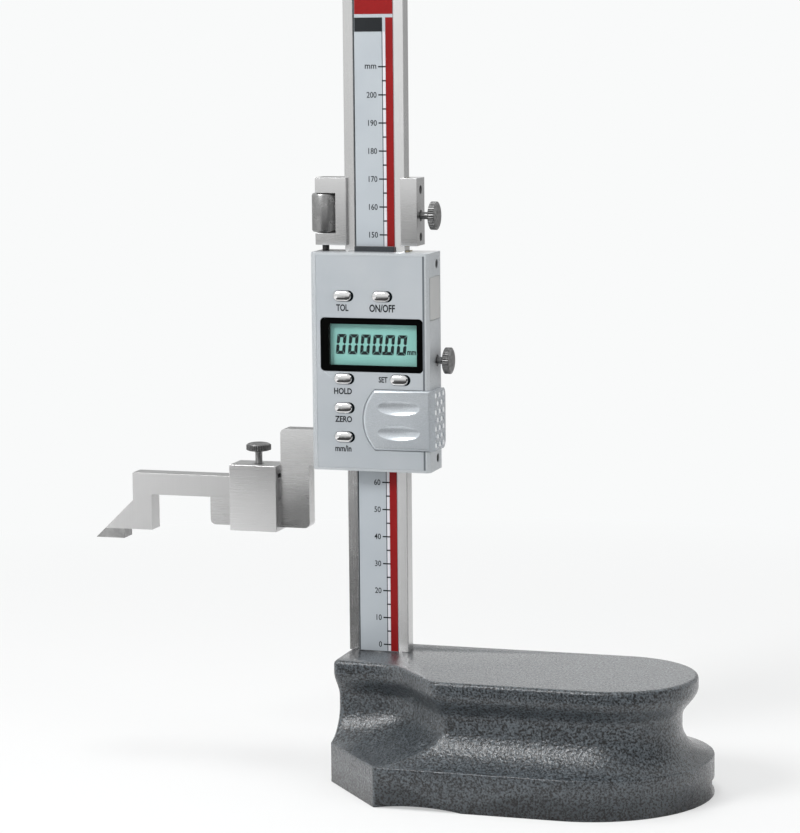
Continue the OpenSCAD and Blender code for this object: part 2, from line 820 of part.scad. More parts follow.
module slider_frame() {
    color("#c4c6c7")
    difference() {
        union() {
            block([-half_w, frame_right], [frame_y, slider_back], [slider_z, slider_top]);
            upright([-beam_t / 2, beam_t / 2])
                jaw_outline();
        }
        block([-guide_x, guide_x], [-guide_y, guide_y], [slider_z - over, slider_top + over]);
        block([0, gib_x], [-gib_w / 2 - slip, gib_w / 2 + slip], [slider_z - over, slider_top + over]);
        block([-lip_x, lip_x], [frame_y - over, 0], [slider_z - over, slider_top + over]);
        rod_z(-nut_x, 0, [stud_low, slider_top + over], stud_d + 2 * stud_gap);
        for (z = [set_b_z, slider_h - set_b_z])
            rod_x([0, half_w], 0, slider_z + z, set_d + seat);
        rod_x([0, half_w], 0, slider_z + lock_b_z, lock_d + seat);
        for (p = bosses) {
            rod_y(p[0], [frame_y - over, slider_back + over], slider_z + p[1], boss_screw_d + seat);
            rod_y(p[0], [slider_back - boss_head_h - slip, slider_back + over], slider_z + p[1],
                boss_head_d + seat);
        }
    }
}

module slider_gib() {
    color("#8d7a4d")
    block([guide_x, guide_x + gib_t], [-gib_w / 2, gib_w / 2], [slider_z + seat, slider_top + gib_out]);
}

module slider_set_screws() {
    color("#55575a")
    for (z = [set_b_z, slider_h - set_b_z])
        set_screw([gib_x, half_w - slot_w / 2], slider_z + z);
}

module slider_lock_pad() {
    color("#b08d4a")
    rod_x([gib_x, gib_x + pad_t], 0, slider_z + lock_b_z, pad_d);
}

module slider_lock_screw() {
    start = gib_x + pad_t + lock_gap;
    color("#6c6e70")
    translate([start, 0, slider_z + lock_b_z])
        rotate([0, 90, 0])
            thumb_screw(half_w - start, reach_b, knob_b_d);
}

// The battery cover's outline on the face: an arc on the left, straight to the right
module lid_outline(grow) {
    arc_x = lid_left - grow + lid_arc;
    right = half_w + wing_t + over;
    intersection() {
        translate([lid_left - grow, lid_low - grow])
            square([right - lid_left + grow, lid_h + 2 * grow]);
        union() {
            translate([arc_x, lid_mid])
                circle(lid_arc);
            translate([arc_x, lid_low - grow])
                square([right - arc_x, lid_h + 2 * grow]);
        }
    }
}

module front_cover() {
    color("#c3c6cc")
    difference() {
        union() {
            difference() {
                block([-half_w, half_w], [front_y, frame_y], [slider_z, slider_top]);
                block([side_t - half_w, half_w - side_t], [wall_y, frame_y + over],
                    [slider_z + wall_t, slider_top - wall_t]);
            }
            block([half_w - side_t, half_w], [frame_y - over, slider_back], [slider_z, slider_top]);
            for (p = bosses)
                rod_y(p[0], [wall_y - slip, frame_y], slider_z + p[1], boss_d);
        }
        for (s = [-1, 1])
            translate([s * half_w, front_y, slider_z - over])
                rotate([0, 0, 45])
                    cube([sqrt(2) * edge_bevel, sqrt(2) * edge_bevel, 2 * (slider_h + 2 * over)], center = true);
        block([rim_w + edge_bevel - half_w, half_w - edge_bevel - rim_w / 2], [front_y - over, panel_y],
            [slider_z + rim_w, slider_top - rim_w]);
        translate([0, 0, slider_z])
            upright([front_y - over, wall_y + over]) {
                translate([bezel_x, bezel_z])
                    round_rect(bezel_w + 2 * seat, bezel_h + 2 * seat, bezel_round);
                for (k = keys)
                    translate(k)
                        oval(key_w + 2 * seat, key_h + 2 * seat);
            }
        upright([front_y - over, lid_floor])
            lid_outline(seat);
        rod_y(cell_x, [front_y - over, frame_y + over], lid_mid, cell_d + 2 * cell_gap);
        for (p = bosses)
            rod_y(p[0], [wall_y + boss_tip - cover_t / 2, slider_back], slider_z + p[1], boss_screw_d + seat);
        for (z = [set_b_z, slider_h - set_b_z])
            rod_x([gib_x, half_w + over], 0, slider_z + z, set_d + 2 * seat);
        rod_x([gib_x, half_w + over], 0, slider_z + lock_b_z, lock_d + 2 * seat);
        block([half_w - port_t - slip, half_w + over], [port_y - port_w / 2, port_y + port_w / 2] + [-seat, seat],
            [port_low - seat, port_low + port_h + seat]);
        block([frame_right - over, half_w + over], [frame_y - port_slot_w, frame_y],
            [slider_z + port_z - port_slot_h / 2, slider_z + port_z + port_slot_h / 2]);
        block([cell_x - cell_r - clip_out, cell_x], [lid_floor - over, frame_y],
            [lid_mid - clip_w / 2 - seat, lid_mid + clip_w / 2 + seat]);
    }
}

module cover_screws() {
    color("#4a4c4e")
    for (p = bosses)
        difference() {
            union() {
                rod_y(p[0], [slider_back - boss_head_h, slider_back - seat], slider_z + p[1], boss_head_d);
                rod_y(p[0], [wall_y + boss_tip, slider_back - boss_head_h + slip], slider_z + p[1], boss_screw_d);
            }
            for (turn = [0, 90])
                translate([p[0], slider_back, slider_z + p[1]])
                    rotate([0, turn, 0])
                        cube([boss_screw_d, boss_head_h, slot_w], center = true);
        }
}

module face_panel() {
    color("#cdd0d6")
    translate([0, 0, slider_z])
        upright([front_y + slip, panel_y])
            difference() {
                translate([rim_w + edge_bevel - half_w + seat, rim_w + seat])
                    square([slider_w - 2 * edge_bevel - 1.5 * rim_w - 2 * seat, slider_h - 2 * rim_w - 2 * seat]);
                translate([bezel_x, bezel_z])
                    round_rect(bezel_w + 2 * seat, bezel_h + 2 * seat, bezel_round);
                for (k = keys)
                    translate(k)
                        oval(key_w + 2 * seat, key_h + 2 * seat);
                translate([0, -slider_z])
                    lid_outline(2 * seat);
            }
}

module wiper_top() {
    color("#2b2e31")
    block([seat - recess_w / 2, recess_w / 2 - seat], [frame_y, strip_y - slip],
        [slider_top - 2 * wall_t, slider_top + wiper_top_out]);
}

module wiper_bottom() {
    color("#2b2e31")
    block([seat - recess_w / 2, recess_w / 2 - seat], [frame_y, strip_y - slip],
        [slider_z - wiper_low_out, slider_z + 2 * wall_t]);
}

module lcd_bezel() {
    color("#111214")
    difference() {
        translate([bezel_x, 0, slider_z + bezel_z]) {
            upright([bezel_y, bezel_y + bezel_t])
                round_rect(bezel_w, bezel_h, bezel_round);
            for (s = [-1, 1])
                translate([s * (bezel_w + bezel_ear) / 2 - s * bezel_ear / 4, 0, 0])
                    block([-bezel_ear * 3 / 4, bezel_ear * 3 / 4], [wall_y + slip, bezel_y + bezel_t],
                        [-bezel_h / 4, bezel_h / 4]);
        }
        translate([bezel_x + window_dx, 0, slider_z + bezel_z]) {
            upright([bezel_y - over, bezel_y + bezel_t + over])
                square([window_w, window_h], center = true);
            upright([bezel_y + lens_in, bezel_y + bezel_t + over])
                square([window_w + 2 * seat, window_h + 2 * seat], center = true);
        }
    }
}

module lcd_window() {
    color("#bfe0e0", 0.4)
    translate([bezel_x + window_dx, 0, slider_z + bezel_z])
        upright([bezel_y + lens_in + slip, bezel_y + lens_in + lens_t])
            square([window_w + seat, window_h + seat], center = true);
}

module lcd_module() {
    color("#8cc3b9")
    translate([bezel_x + window_dx, 0, slider_z + bezel_z])
        upright([glass_y, glass_y + glass_t])
            square([glass_w, glass_h], center = true);
}

module lcd_connector() {
    color("#d8688a")
    translate([bezel_x + window_dx, 0, slider_z + bezel_z - glass_h / 2])
        upright([glass_y + glass_t, board_y])
            translate([-window_w / 2, 0])
                square([window_w, rubber_h]);
}

module circuit_board() {
    color("#2c6e49")
    difference() {
        block([side_t + board_edge - half_w, frame_right - board_edge], [board_y, frame_y],
            [slider_z + wall_t + slip, slider_top - wall_t - slip]);
        for (p = bosses)
            rod_y(p[0], [board_y - over, frame_y + over], slider_z + p[1], boss_d + 2 * seat);
    }
}

module sensor_plate() {
    color("#3f7d5a")
    block([seat - lip_x, lip_x - seat], [frame_y, -guide_y], [slider_z + slider_h / 6, slider_top - slider_h / 6]);
}

module key_switches() {
    color("#3b3d40")
    for (k = keys)
        translate([k[0], 0, slider_z + k[1]])
            block([-switch_w / 2, switch_w / 2], [switch_y, board_y], [-switch_w / 2, switch_w / 2]);
}

// A key: an oval cap with a stepped edge and a flange behind the wall
module key_cap(k) {
    color("#d4d6d8")
    translate([k[0], 0, slider_z + k[1]]) {
        upright([front_y - key_out, front_y - key_out + key_step + slip])
            oval(key_w - 2 * key_step, key_h - 2 * key_step);
        upright([front_y - key_out + key_step, key_back])
            oval(key_w, key_h);
        upright([wall_y + slip, key_back])
            oval(key_w + 2 * key_flange, key_h + 2 * key_flange);
    }
}

module key_tolerance() { key_cap(keys[0]); }
module key_power() { key_cap(keys[1]); }
module key_hold() { key_cap(keys[2]); }
module key_set() { key_cap(keys[3]); }
module key_zero() { key_cap(keys[4]); }
module key_unit() { key_cap(keys[5]); }

// Modules of the power supply and the data port
module coin_cell() {
    color("#b7babd")
    union() {
        rod_y(cell_x, [cell_y - cell_t, cell_y - cell_t / 5], lid_mid, cell_d);
        rod_y(cell_x, [cell_y - cell_t / 5 - slip, cell_y], lid_mid, cell_d - 2 * cell_gap);
    }
}

module cell_contact_front() {
    leg_x = cell_x - cell_r - clip_out + seat;
    color("#c9b26a")
    union() {
        block([leg_x, leg_x + clip_t], [cell_y - cell_t - clip_t, board_y], [lid_mid - clip_w / 2, lid_mid + clip_w / 2]);
        block([leg_x, cell_x - cell_r + clip_lap], [cell_y - cell_t - clip_t, cell_y - cell_t],
            [lid_mid - clip_w / 2, lid_mid + clip_w / 2]);
    }
}

module cell_contact_back() {
    color("#c9b26a")
    block([cell_x - cell_r / 2, cell_x + cell_r / 2], [cell_y, board_y], [lid_mid - clip_w / 2, lid_mid + clip_w / 2]);
}

// A long shallow finger dish, cut by a barrel that lies along X in front of the face
module dish(x, z) {
    r = (pow(dish_w / 2, 2) + pow(dish_d, 2)) / (2 * dish_d);
    sweep = (pow(dish_l / 2, 2) + pow(dish_d, 2)) / (2 * dish_d);
    translate([x, lid_y - r + dish_d, z])
        rotate([0, 90, 0])
            rotate_extrude()
                intersection() {
                    translate([r - sweep, 0])
                        circle(sweep, $fn = 2 * $fn);
                    translate([0, -dish_l])
                        square([2 * r, 2 * dish_l]);
                }
}

module battery_cover() {
    face_x = half_w + wing_t - dot_h;
    color("#c3c6cc")
    difference() {
        union() {
            difference() {
                upright([lid_y, lid_floor - slip])
                    lid_outline(0);
                block([face_x, face_x + 2 * wing_t + over], [lid_y - over, lid_floor + over],
                    [lid_low - over, lid_high + over]);
            }
            translate([wing_x, 0, 0])
                rotate([90, 0, 90])
                    linear_extrude(face_x - wing_x)
                        translate([(lid_y + wing_back) / 2, lid_mid])
                            round_rect(wing_back - lid_y, lid_h, wing_round);
            for (i = [-dot_rows:dot_rows], j = [-dot_columns:dot_columns])
                if ((i + j) % 2 == 0)
                    rod_x([face_x - slip, face_x + dot_h], (lid_y + wing_back) / 2 + j * dot_pitch * 0.8,
                        lid_mid + i * dot_pitch, dot_d);
        }
        for (s = [-1, 1])
            dish(dish_x, lid_mid + s * dish_rise);
        translate([face_x, lid_y, lid_mid])
            rotate([0, 0, 45])
                cube([sqrt(2) * wing_t, sqrt(2) * wing_t, 2 * lid_h], center = true);
    }
}

module port_contacts() {
    color("#c9b26a")
    block([frame_right - contact_l, frame_right - seat], [board_y - contact_l, board_y],
        [slider_z + port_z - port_slot_h / 2 + seat, slider_z + port_z + port_slot_h / 2 - seat]);
}

module port_cover() {
    color("#b4b6b8")
    block([half_w - port_t, half_w], [port_y - port_w / 2, port_y + port_w / 2], [port_low, port_low + port_h]);
}

// Modules of the clamp and the scriber
module clamp_box() {
    color("#babcbe")
    difference() {
        block([box_left, box_right], [-box_t / 2, box_t / 2], [box_z, box_top]);
        block([box_left - over, box_right + over], [-beam_t / 2 - slip, beam_t / 2 + slip], [jaw_z - slip, arm_top]);
        block([box_left - over, box_right + over], [-scriber_t / 2 - slip, scriber_t / 2 + slip],
            [arm_top, box_in_top]);
        rod_z(clamp_x, 0, [bar_z, box_top + over], lock_d + seat);
    }
}

module clamp_pad() {
    color("#b08d4a")
    block([clamp_x - clamp_pad_l / 2, clamp_x + clamp_pad_l / 2], [slip - scriber_t / 2, scriber_t / 2 - slip],
        [pad_z, pad_z + pad_t]);
}

module clamp_screw() {
    start = pad_z + pad_t + lock_gap;
    color("#6c6e70")
    translate([clamp_x, 0, start])
        thumb_screw(box_top - start, reach_c, knob_c_d);
}

module scriber_bar() {
    color("#b4b6b8")
    upright([-scriber_t / 2, scriber_t / 2])
        polygon([
            [-scriber_left - tip_l + edge_h * tip_l / wedge_h, leg_z],
            [leg_w - scriber_left, leg_z],
            [leg_w - scriber_left, bar_z],
            [box_right - slip, bar_z],
            [box_right - slip, bar_top],
            [-scriber_left, bar_top],
            [-scriber_left, tip_z + wedge_h]
        ]);
}

module scriber_tip() {
    color("#7d7f82")
    upright([-scriber_t / 2, scriber_t / 2])
        polygon([
            [-scriber_left - tip_l, tip_z],
            [-scriber_left - tip_l + edge_l, tip_z],
            [-scriber_left - tip_l + edge_l, leg_z],
            [-scriber_left - tip_l + edge_h * tip_l / wedge_h, leg_z]
        ]);
}

base();
beam();
scale_strip();
beam_screws();
stop_screw();
carriage();
carriage_gib();
carriage_set_screws();
carriage_lock_pad();
carriage_lock_screw();
fine_nut();
fine_stud();
slider_frame();
slider_gib();
slider_set_screws();
slider_lock_pad();
slider_lock_screw();
front_cover();
cover_screws();
face_panel();
wiper_top();
wiper_bottom();
lcd_bezel();
lcd_window();
lcd_module();
lcd_connector();
circuit_board();
sensor_plate();
key_switches();
key_tolerance();
key_power();
key_hold();
key_set();
key_zero();
key_unit();
coin_cell();
cell_contact_front();
cell_contact_back();
battery_cover();
port_contacts();
port_cover();
clamp_box();
clamp_pad();
clamp_screw();
scriber_bar();
scriber_tip();
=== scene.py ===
"""Finishes and fine detail of a digital height gauge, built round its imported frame."""
import json
import logging
import math
from dataclasses import dataclass
from enum import Enum
from typing import Iterable, Sequence

import bmesh
import bpy
from mathutils import Matrix, Vector


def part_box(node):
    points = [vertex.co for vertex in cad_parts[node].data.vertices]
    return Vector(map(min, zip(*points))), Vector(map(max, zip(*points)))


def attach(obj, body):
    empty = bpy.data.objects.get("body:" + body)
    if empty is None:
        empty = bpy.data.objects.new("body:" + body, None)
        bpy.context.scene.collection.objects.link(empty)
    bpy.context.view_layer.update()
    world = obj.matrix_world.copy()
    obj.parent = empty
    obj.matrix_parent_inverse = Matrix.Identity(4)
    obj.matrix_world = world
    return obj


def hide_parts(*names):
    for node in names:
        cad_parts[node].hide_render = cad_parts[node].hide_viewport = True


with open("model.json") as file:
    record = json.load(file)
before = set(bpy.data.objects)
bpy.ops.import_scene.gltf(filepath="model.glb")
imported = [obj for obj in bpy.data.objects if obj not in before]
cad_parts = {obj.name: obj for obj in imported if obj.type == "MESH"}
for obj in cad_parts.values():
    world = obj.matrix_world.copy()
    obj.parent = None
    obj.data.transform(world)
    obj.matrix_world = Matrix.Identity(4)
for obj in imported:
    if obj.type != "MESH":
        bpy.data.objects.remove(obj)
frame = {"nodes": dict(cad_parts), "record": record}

log = logging.getLogger("height_gauge")
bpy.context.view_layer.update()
Colour = tuple[float, float, float]
Pair = tuple[float, float]
Triple = tuple[float, float, float]
Socket = bpy.types.NodeSocket
# One millimetre in metres
MM = 0.001
# How near two places are taken as one, in metres
NEAR = 0.01 * MM
# Thickness of every print, in millimetres
INK = 0.02
# The full range of a share
WHOLE: Pair = (0.0, 1.0)
# The range that a noise value mostly keeps to
NOISE: Pair = (0.3, 0.7)
# The part of that range which makes patches with soft edges
PATCHES: Pair = (0.35, 0.65)


class Axis(Enum):
    """A direction along which a surface was ground or a piece was turned."""

    X = 0
    Y = 1
    Z = 2


class Anchor(Enum):
    """Which part of a word stands at its given place."""

    MIDDLE = 0.5
    RIGHT = 1.0


def tone(red: int, green: int, blue: int) -> Colour:
    """Turns a colour as a screen shows it, 0 to 255, into linear values.

    Args:
        red: Red share, 0 to 255.
        green: Green share, 0 to 255.
        blue: Blue share, 0 to 255.

    Returns:
        The linear colour.
    """
    shares = (level / 255 for level in (red, green, blue))
    return tuple(((s + 0.055) / 1.055) ** 2.4 if s > 0.04045 else s / 12.92 for s in shares)


def grey(level: int) -> Colour:
    """Returns a neutral colour of one screen level."""
    return tone(level, level, level)


class Nodes:
    """A node tree, with short calls that add a node and join it up."""

    def __init__(self, tree: bpy.types.NodeTree) -> None:
        """Takes the tree.

        Args:
            tree: The tree that the nodes go in.
        """
        self.tree = tree

    def node(self, kind: str, inputs: dict | None = None, **settings: object) -> bpy.types.Node:
        """Adds a node.

        Args:
            kind: The node's type.
            inputs: Socket name or number to a value or to another node's output.
            settings: The node's own settings.

        Returns:
            The node.
        """
        made = self.tree.nodes.new(kind)
        for key, value in settings.items():
            setattr(made, key, value)
        for key, value in (inputs or {}).items():
            if isinstance(value, Socket):
                self.tree.links.new(value, made.inputs[key])
            else:
                made.inputs[key].default_value = value
        return made

    def math(self, operation: str, first: object, second: object = 0.0) -> Socket:
        """Returns the result of one operation on two values."""
        return self.node("ShaderNodeMath", {0: first, 1: second}, operation=operation).outputs[0]


class Graph(Nodes):
    """A material and its nodes, with a short call for each kind of node that the finishes use."""

    def __init__(self, name: str) -> None:
        """Starts an empty material.

        Args:
            name: The material's name.
        """
        self.material = bpy.data.materials.new(name)
        self.material.use_nodes = True
        super().__init__(self.material.node_tree)
        self.tree.nodes.clear()
        self.place = self.node("ShaderNodeTexCoord").outputs["Object"]

    def along(self, axis: Axis) -> Socket:
        """Returns the object's own coordinate along an axis, in metres."""
        return self.node("ShaderNodeSeparateXYZ", {0: self.place}).outputs[axis.value]

    def noise(self, size: float, detail: float = 2.0, rough: float = 0.5) -> Socket:
        """Returns a noise value with features of a size in millimetres."""
        inputs = {"Vector": self.place, "Scale": 1 / (size * MM), "Detail": detail, "Roughness": rough}
        return self.node("ShaderNodeTexNoise", inputs).outputs["Fac"]

    def streaks(self, sizes: Triple, detail: float, rough: float, turn: Triple = (0, 0, 0)) -> Socket:
        """Makes noise whose features have their own size along each axis.

        Args:
            sizes: Size in millimetres along each axis.
            detail: How many finer layers it has.
            rough: How strong they are.
            turn: How the axes are turned, in radians.

        Returns:
            The noise value.
        """
        scale = tuple(1 / (size * MM) for size in sizes)
        turned = self.node("ShaderNodeMapping", {"Vector": self.place, "Scale": scale, "Rotation": turn})
        inputs = {"Vector": turned.outputs[0], "Scale": 1.0, "Detail": detail, "Roughness": rough}
        return self.node("ShaderNodeTexNoise", inputs).outputs["Fac"]

    def cells(self, size: float) -> Socket:
        """Returns the distance to the nearest point of a pattern of cells of a size in millimetres."""
        inputs = {"Vector": self.place, "Scale": 1 / (size * MM)}
        return self.node("ShaderNodeTexVoronoi", inputs).outputs["Distance"]

    def bands(self, size: float, **inputs: float) -> Socket:
        """Makes bands across X.

        Args:
            size: Size of the bands in millimetres.
            inputs: More inputs of the node.

        Returns:
            The bands' value.
        """
        given = {"Vector": self.place, "Scale": 1 / (size * MM), **inputs}
        made = self.node("ShaderNodeTexWave", given, wave_type="BANDS", bands_direction="X")
        return made.outputs["Fac"]

    def between(self, value: Socket, start: Pair, end: Pair = WHOLE) -> Socket:
        """Maps a value from one range to another, held at the ends."""
        inputs = {"Value": value, "From Min": start[0], "From Max": start[1],
                  "To Min": end[0], "To Max": end[1]}
        return self.node("ShaderNodeMapRange", inputs).outputs["Result"]

    def around(self, value: Socket, middle: float, spread: Pair) -> Socket:
        """Spreads a noise value round a middle, by so much at its low and at its high end."""
        return self.between(value, NOISE, (middle + spread[0], middle + spread[1]))

    def blend(self, share: Socket, first: Colour | Socket, second: Colour | Socket) -> Socket:
        """Mixes two colours by a share."""
        first, second = ((*c, 1.0) if isinstance(c, tuple) else c for c in (first, second))
        return self.node("ShaderNodeMix", {0: share, 6: first, 7: second}, data_type="RGBA").outputs[2]

    def bump(self, height: Socket, depth: float, strength: float = 1.0, over: Socket | None = None) -> Socket:
        """Makes normals that follow a height.

        Args:
            height: The height, as a share of the depth.
            depth: The depth in millimetres.
            strength: How strongly it shows.
            over: Other normals that it lies over.

        Returns:
            The normals.
        """
        inputs = {"Height": height, "Distance": depth * MM, "Strength": strength}
        if over is not None:
            inputs["Normal"] = over
        return self.node("ShaderNodeBump", inputs).outputs["Normal"]

    def glow(self, colour: Colour, strength: float | Socket = 1.0) -> Socket:
        """Returns a surface that glows by itself."""
        return self.node("ShaderNodeEmission", {"Color": (*colour, 1.0), "Strength": strength}).outputs[0]

    def end(self, surface: Socket) -> bpy.types.Material:
        """Ends the material in a surface, and returns it."""
        self.node("ShaderNodeOutputMaterial", {"Surface": surface})
        return self.material

    def finish(self, **inputs: object) -> bpy.types.Material:
        """Ends the material in one principled surface.

        Args:
            inputs: The surface's sockets, with underscores in place of spaces.

        Returns:
            The material.
        """
        named = {key.replace("_", " "): (*value, 1.0) if isinstance(value, tuple) else value
                 for key, value in inputs.items()}
        return self.end(self.node("ShaderNodeBsdfPrincipled", named).outputs[0])


@dataclass(frozen=True)
class HammerPaint:
    """Hammered enamel over a rough casting: dark specks in a grey-blue ground. Sizes are in millimetres."""

    name: str
    ground: Colour
    pale: Colour
    speck: Colour
    speck_size: float = 0.75
    cloud_size: float = 9.0
    dimple_size: float = 1.5
    dimple_depth: float = 0.16
    dimple_reach: Pair = (0.0, 0.9)
    grain_height: float = 0.7
    cloud_share: float = 0.3
    fleck_span: Pair = (0.53, 0.64)
    speck_span: Pair = (0.49, 0.43)
    roughness: float = 0.3
    spread: Pair = (0.14, -0.08)
    gloss: float = 0.3
    coat: float = 0.8
    coat_roughness: float = 0.14

    def build(self) -> bpy.types.Material:
        """Builds the finish.

        Returns:
            The material.
        """
        graph = Graph(self.name)
        fine = graph.noise(self.speck_size, detail=3.0, rough=0.62)
        clouds = graph.between(graph.noise(self.cloud_size), NOISE, (0.0, self.cloud_share))
        mottled = graph.blend(clouds, self.ground, self.pale)
        flecked = graph.blend(graph.between(fine, self.fleck_span), mottled, self.pale)
        specks = graph.between(fine, self.speck_span)
        dimples = graph.between(graph.cells(self.dimple_size), self.dimple_reach)
        height = graph.math("ADD", dimples, graph.between(fine, NOISE, (0.0, self.grain_height)))
        normal = graph.bump(height, self.dimple_depth, strength=0.8)
        return graph.finish(
            Base_Color=graph.blend(specks, flecked, self.speck),
            Roughness=graph.around(fine, self.roughness, self.spread), Normal=normal, Coat_Normal=normal,
            Specular_IOR_Level=self.gloss, Coat_Weight=self.coat, Coat_Roughness=self.coat_roughness)


@dataclass(frozen=True)
class GroundSteel:
    """Steel with the fine lines of grinding along one axis, and a slow change of sheen.

    Sizes are in millimetres and angles in degrees. A crown bows the light over the height of a face, on
    the right of a given X. A lean tips the right side of a front, to the left and up.
    """

    name: str
    colour: Colour
    grain: Axis
    roughness: float = 0.3
    depth: float = 0.0015
    wear: float = 0.04
    line_width: float = 0.07
    line_length: float = 26.0
    line_span: Pair = (0.35, 0.7)
    cloud_size: float = 14.0
    dullness: float = 0.95
    crown_at: float = 0.0
    crown_reach: float = 12.0
    crown_angle: float = 0.0
    crown_from: float = -1000.0
    lean: Pair = (0.0, 0.0)
    lean_front: float = 0.0

    def build(self) -> bpy.types.Material:
        """Builds the finish.

        Returns:
            The material.
        """
        graph = Graph(self.name)
        sizes = tuple(self.line_length if axis is self.grain else self.line_width for axis in Axis)
        lines = graph.streaks(sizes, detail=3.0, rough=0.6)
        clouds = graph.noise(self.cloud_size, detail=3.0)
        dull = tuple(c * self.dullness for c in self.colour)
        slopes = graph.math("ADD", self.crowned(graph), self.leaning(graph))
        tipped = graph.node("ShaderNodeBump", {"Height": slopes, "Distance": 1.0}).outputs[0]
        rough = graph.math("ADD", graph.between(lines, NOISE, (-self.wear, self.wear)),
                           graph.around(clouds, self.roughness, (-self.wear / 2, self.wear / 2)))
        return graph.finish(
            Base_Color=graph.blend(graph.between(lines, self.line_span), self.colour, dull),
            Metallic=1.0, Roughness=rough, Normal=graph.bump(lines, self.depth, strength=0.6, over=tipped))

    def crowned(self, graph: Graph) -> Socket:
        """Bows a face over its own height.

        Args:
            graph: The material's nodes.

        Returns:
            The height that the light follows, in metres.
        """
        away = graph.math("ADD", graph.along(Axis.Z), -self.crown_at * MM)
        bend = -math.tan(math.radians(self.crown_angle)) / (2 * self.crown_reach * MM)
        crown = graph.math("MULTIPLY", graph.math("MULTIPLY", away, away), bend)
        side = graph.math("GREATER_THAN", graph.along(Axis.X), self.crown_from * MM)
        return graph.math("MULTIPLY", crown, side)

    def leaning(self, graph: Graph) -> Socket:
        """Tips the right side of a front, as if it was ground leaning.

        Args:
            graph: The material's nodes.

        Returns:
            The height that the light follows, in metres.
        """
        left, up = (math.tan(math.radians(angle)) for angle in self.lean)
        x = graph.along(Axis.X)
        height = graph.math("ADD", graph.math("MULTIPLY", x, left),
                            graph.math("MULTIPLY", graph.along(Axis.Z), -up))
        ahead = graph.math("LESS_THAN", graph.along(Axis.Y), self.lean_front * MM)
        side = graph.math("MULTIPLY", graph.math("GREATER_THAN", x, 0.0), ahead)
        return graph.math("MULTIPLY", height, side)


@dataclass(frozen=True)
class TurnedSteel:
    """Turned or plated metal with small stains and a soft sheen. Sizes are in millimetres."""

    name: str
    colour: Colour
    dark: Colour
    roughness: float = 0.3
    stain_size: float = 1.2
    grain_size: float = 0.12
    grain_depth: float = 0.004
    spread: Pair = (-0.06, 0.08)

    def build(self) -> bpy.types.Material:
        """Builds the finish.

        Returns:
            The material.
        """
        graph = Graph(self.name)
        stains = graph.noise(self.stain_size, detail=4.0, rough=0.6)
        return graph.finish(
            Base_Color=graph.blend(graph.between(stains, PATCHES), self.colour, self.dark),
            Metallic=1.0, Roughness=graph.around(stains, self.roughness, self.spread),
            Normal=graph.bump(graph.noise(self.grain_size), self.grain_depth, strength=0.5))


@dataclass(frozen=True)
class Moulded:
    """Moulded or printed plastic with a fine grain, and metal flake where it has some.

    Sizes are in millimetres.
    """

    name: str
    colour: Colour
    shade: Colour
    roughness: float = 0.45
    flake: float = 0.0
    grain_size: float = 0.16
    grain_depth: float = 0.006
    grain_span: Pair = (0.4, 0.75)
    grain_share: float = 0.35
    cloud_size: float = 22.0
    spread: Pair = (-0.05, 0.05)
    coat: float = 0.0
    coat_roughness: float = 0.08
    gloss: float = 0.5

    def build(self) -> bpy.types.Material:
        """Builds the finish.

        Returns:
            The material.
        """
        graph = Graph(self.name)
        grain = graph.noise(self.grain_size)
        clouds = graph.noise(self.cloud_size)
        ground = graph.blend(graph.between(clouds, PATCHES), self.colour, self.shade)
        grains = graph.between(grain, self.grain_span, (0.0, self.grain_share))
        return graph.finish(
            Base_Color=graph.blend(grains, ground, self.shade), Metallic=self.flake,
            Roughness=graph.around(grain, self.roughness, self.spread),
            Normal=graph.bump(grain, self.grain_depth, strength=0.6),
            Specular_IOR_Level=self.gloss, Coat_Weight=self.coat, Coat_Roughness=self.coat_roughness)


@dataclass(frozen=True)
class Pressed:
    """Pressed felt: tangled short fibres with a dusty sheen. Sizes are in millimetres."""

    name: str
    colour: Colour
    fibre: Colour
    fibre_sizes: Triple = (0.5, 0.12, 0.12)
    fibre_turn: Triple = (0.3, 0.2, 0.5)
    fibre_span: Pair = (0.45, 0.75)
    fibre_depth: float = 0.08

    def build(self) -> bpy.types.Material:
        """Builds the finish.

        Returns:
            The material.
        """
        graph = Graph(self.name)
        fibres = graph.streaks(self.fibre_sizes, detail=4.0, rough=0.7, turn=self.fibre_turn)
        return graph.finish(
            Base_Color=graph.blend(graph.between(fibres, self.fibre_span), self.colour, self.fibre),
            Roughness=0.95, Normal=graph.bump(fibres, self.fibre_depth),
            Sheen_Weight=0.3, Sheen_Roughness=0.5)


@dataclass(frozen=True)
class Pane:
    """A clear window: a thin see-through sheet with a faint tint and a little haze."""

    name: str
    colour: Colour
    cover: float = 0.015
    haze_size: float = 4.0
    haze: Pair = (0.03, 0.1)

    def build(self) -> bpy.types.Material:
        """Builds the finish.

        Returns:
            The material.
        """
        graph = Graph(self.name)
        rough = graph.between(graph.noise(self.haze_size, detail=3.0), NOISE, self.haze)
        return graph.finish(Base_Color=self.colour, Alpha=self.cover, Roughness=rough, Specular_IOR_Level=0.2)


@dataclass(frozen=True)
class Laminate:
    """A lacquered circuit board with copper tracks under its mask. Sizes are in millimetres."""

    name: str
    colour: Colour
    track: Colour
    track_size: float = 2.2
    track_span: Pair = (0.7, 0.8)
    track_height: float = 0.03

    def build(self) -> bpy.types.Material:
        """Builds the finish.

        Returns:
            The material.
        """
        graph = Graph(self.name)
        tracks = graph.between(graph.bands(self.track_size, Distortion=5.0, Detail=2.0), self.track_span)
        return graph.finish(Base_Color=graph.blend(tracks, self.colour, self.track), Roughness=0.35,
                            Normal=graph.bump(tracks, self.track_height))


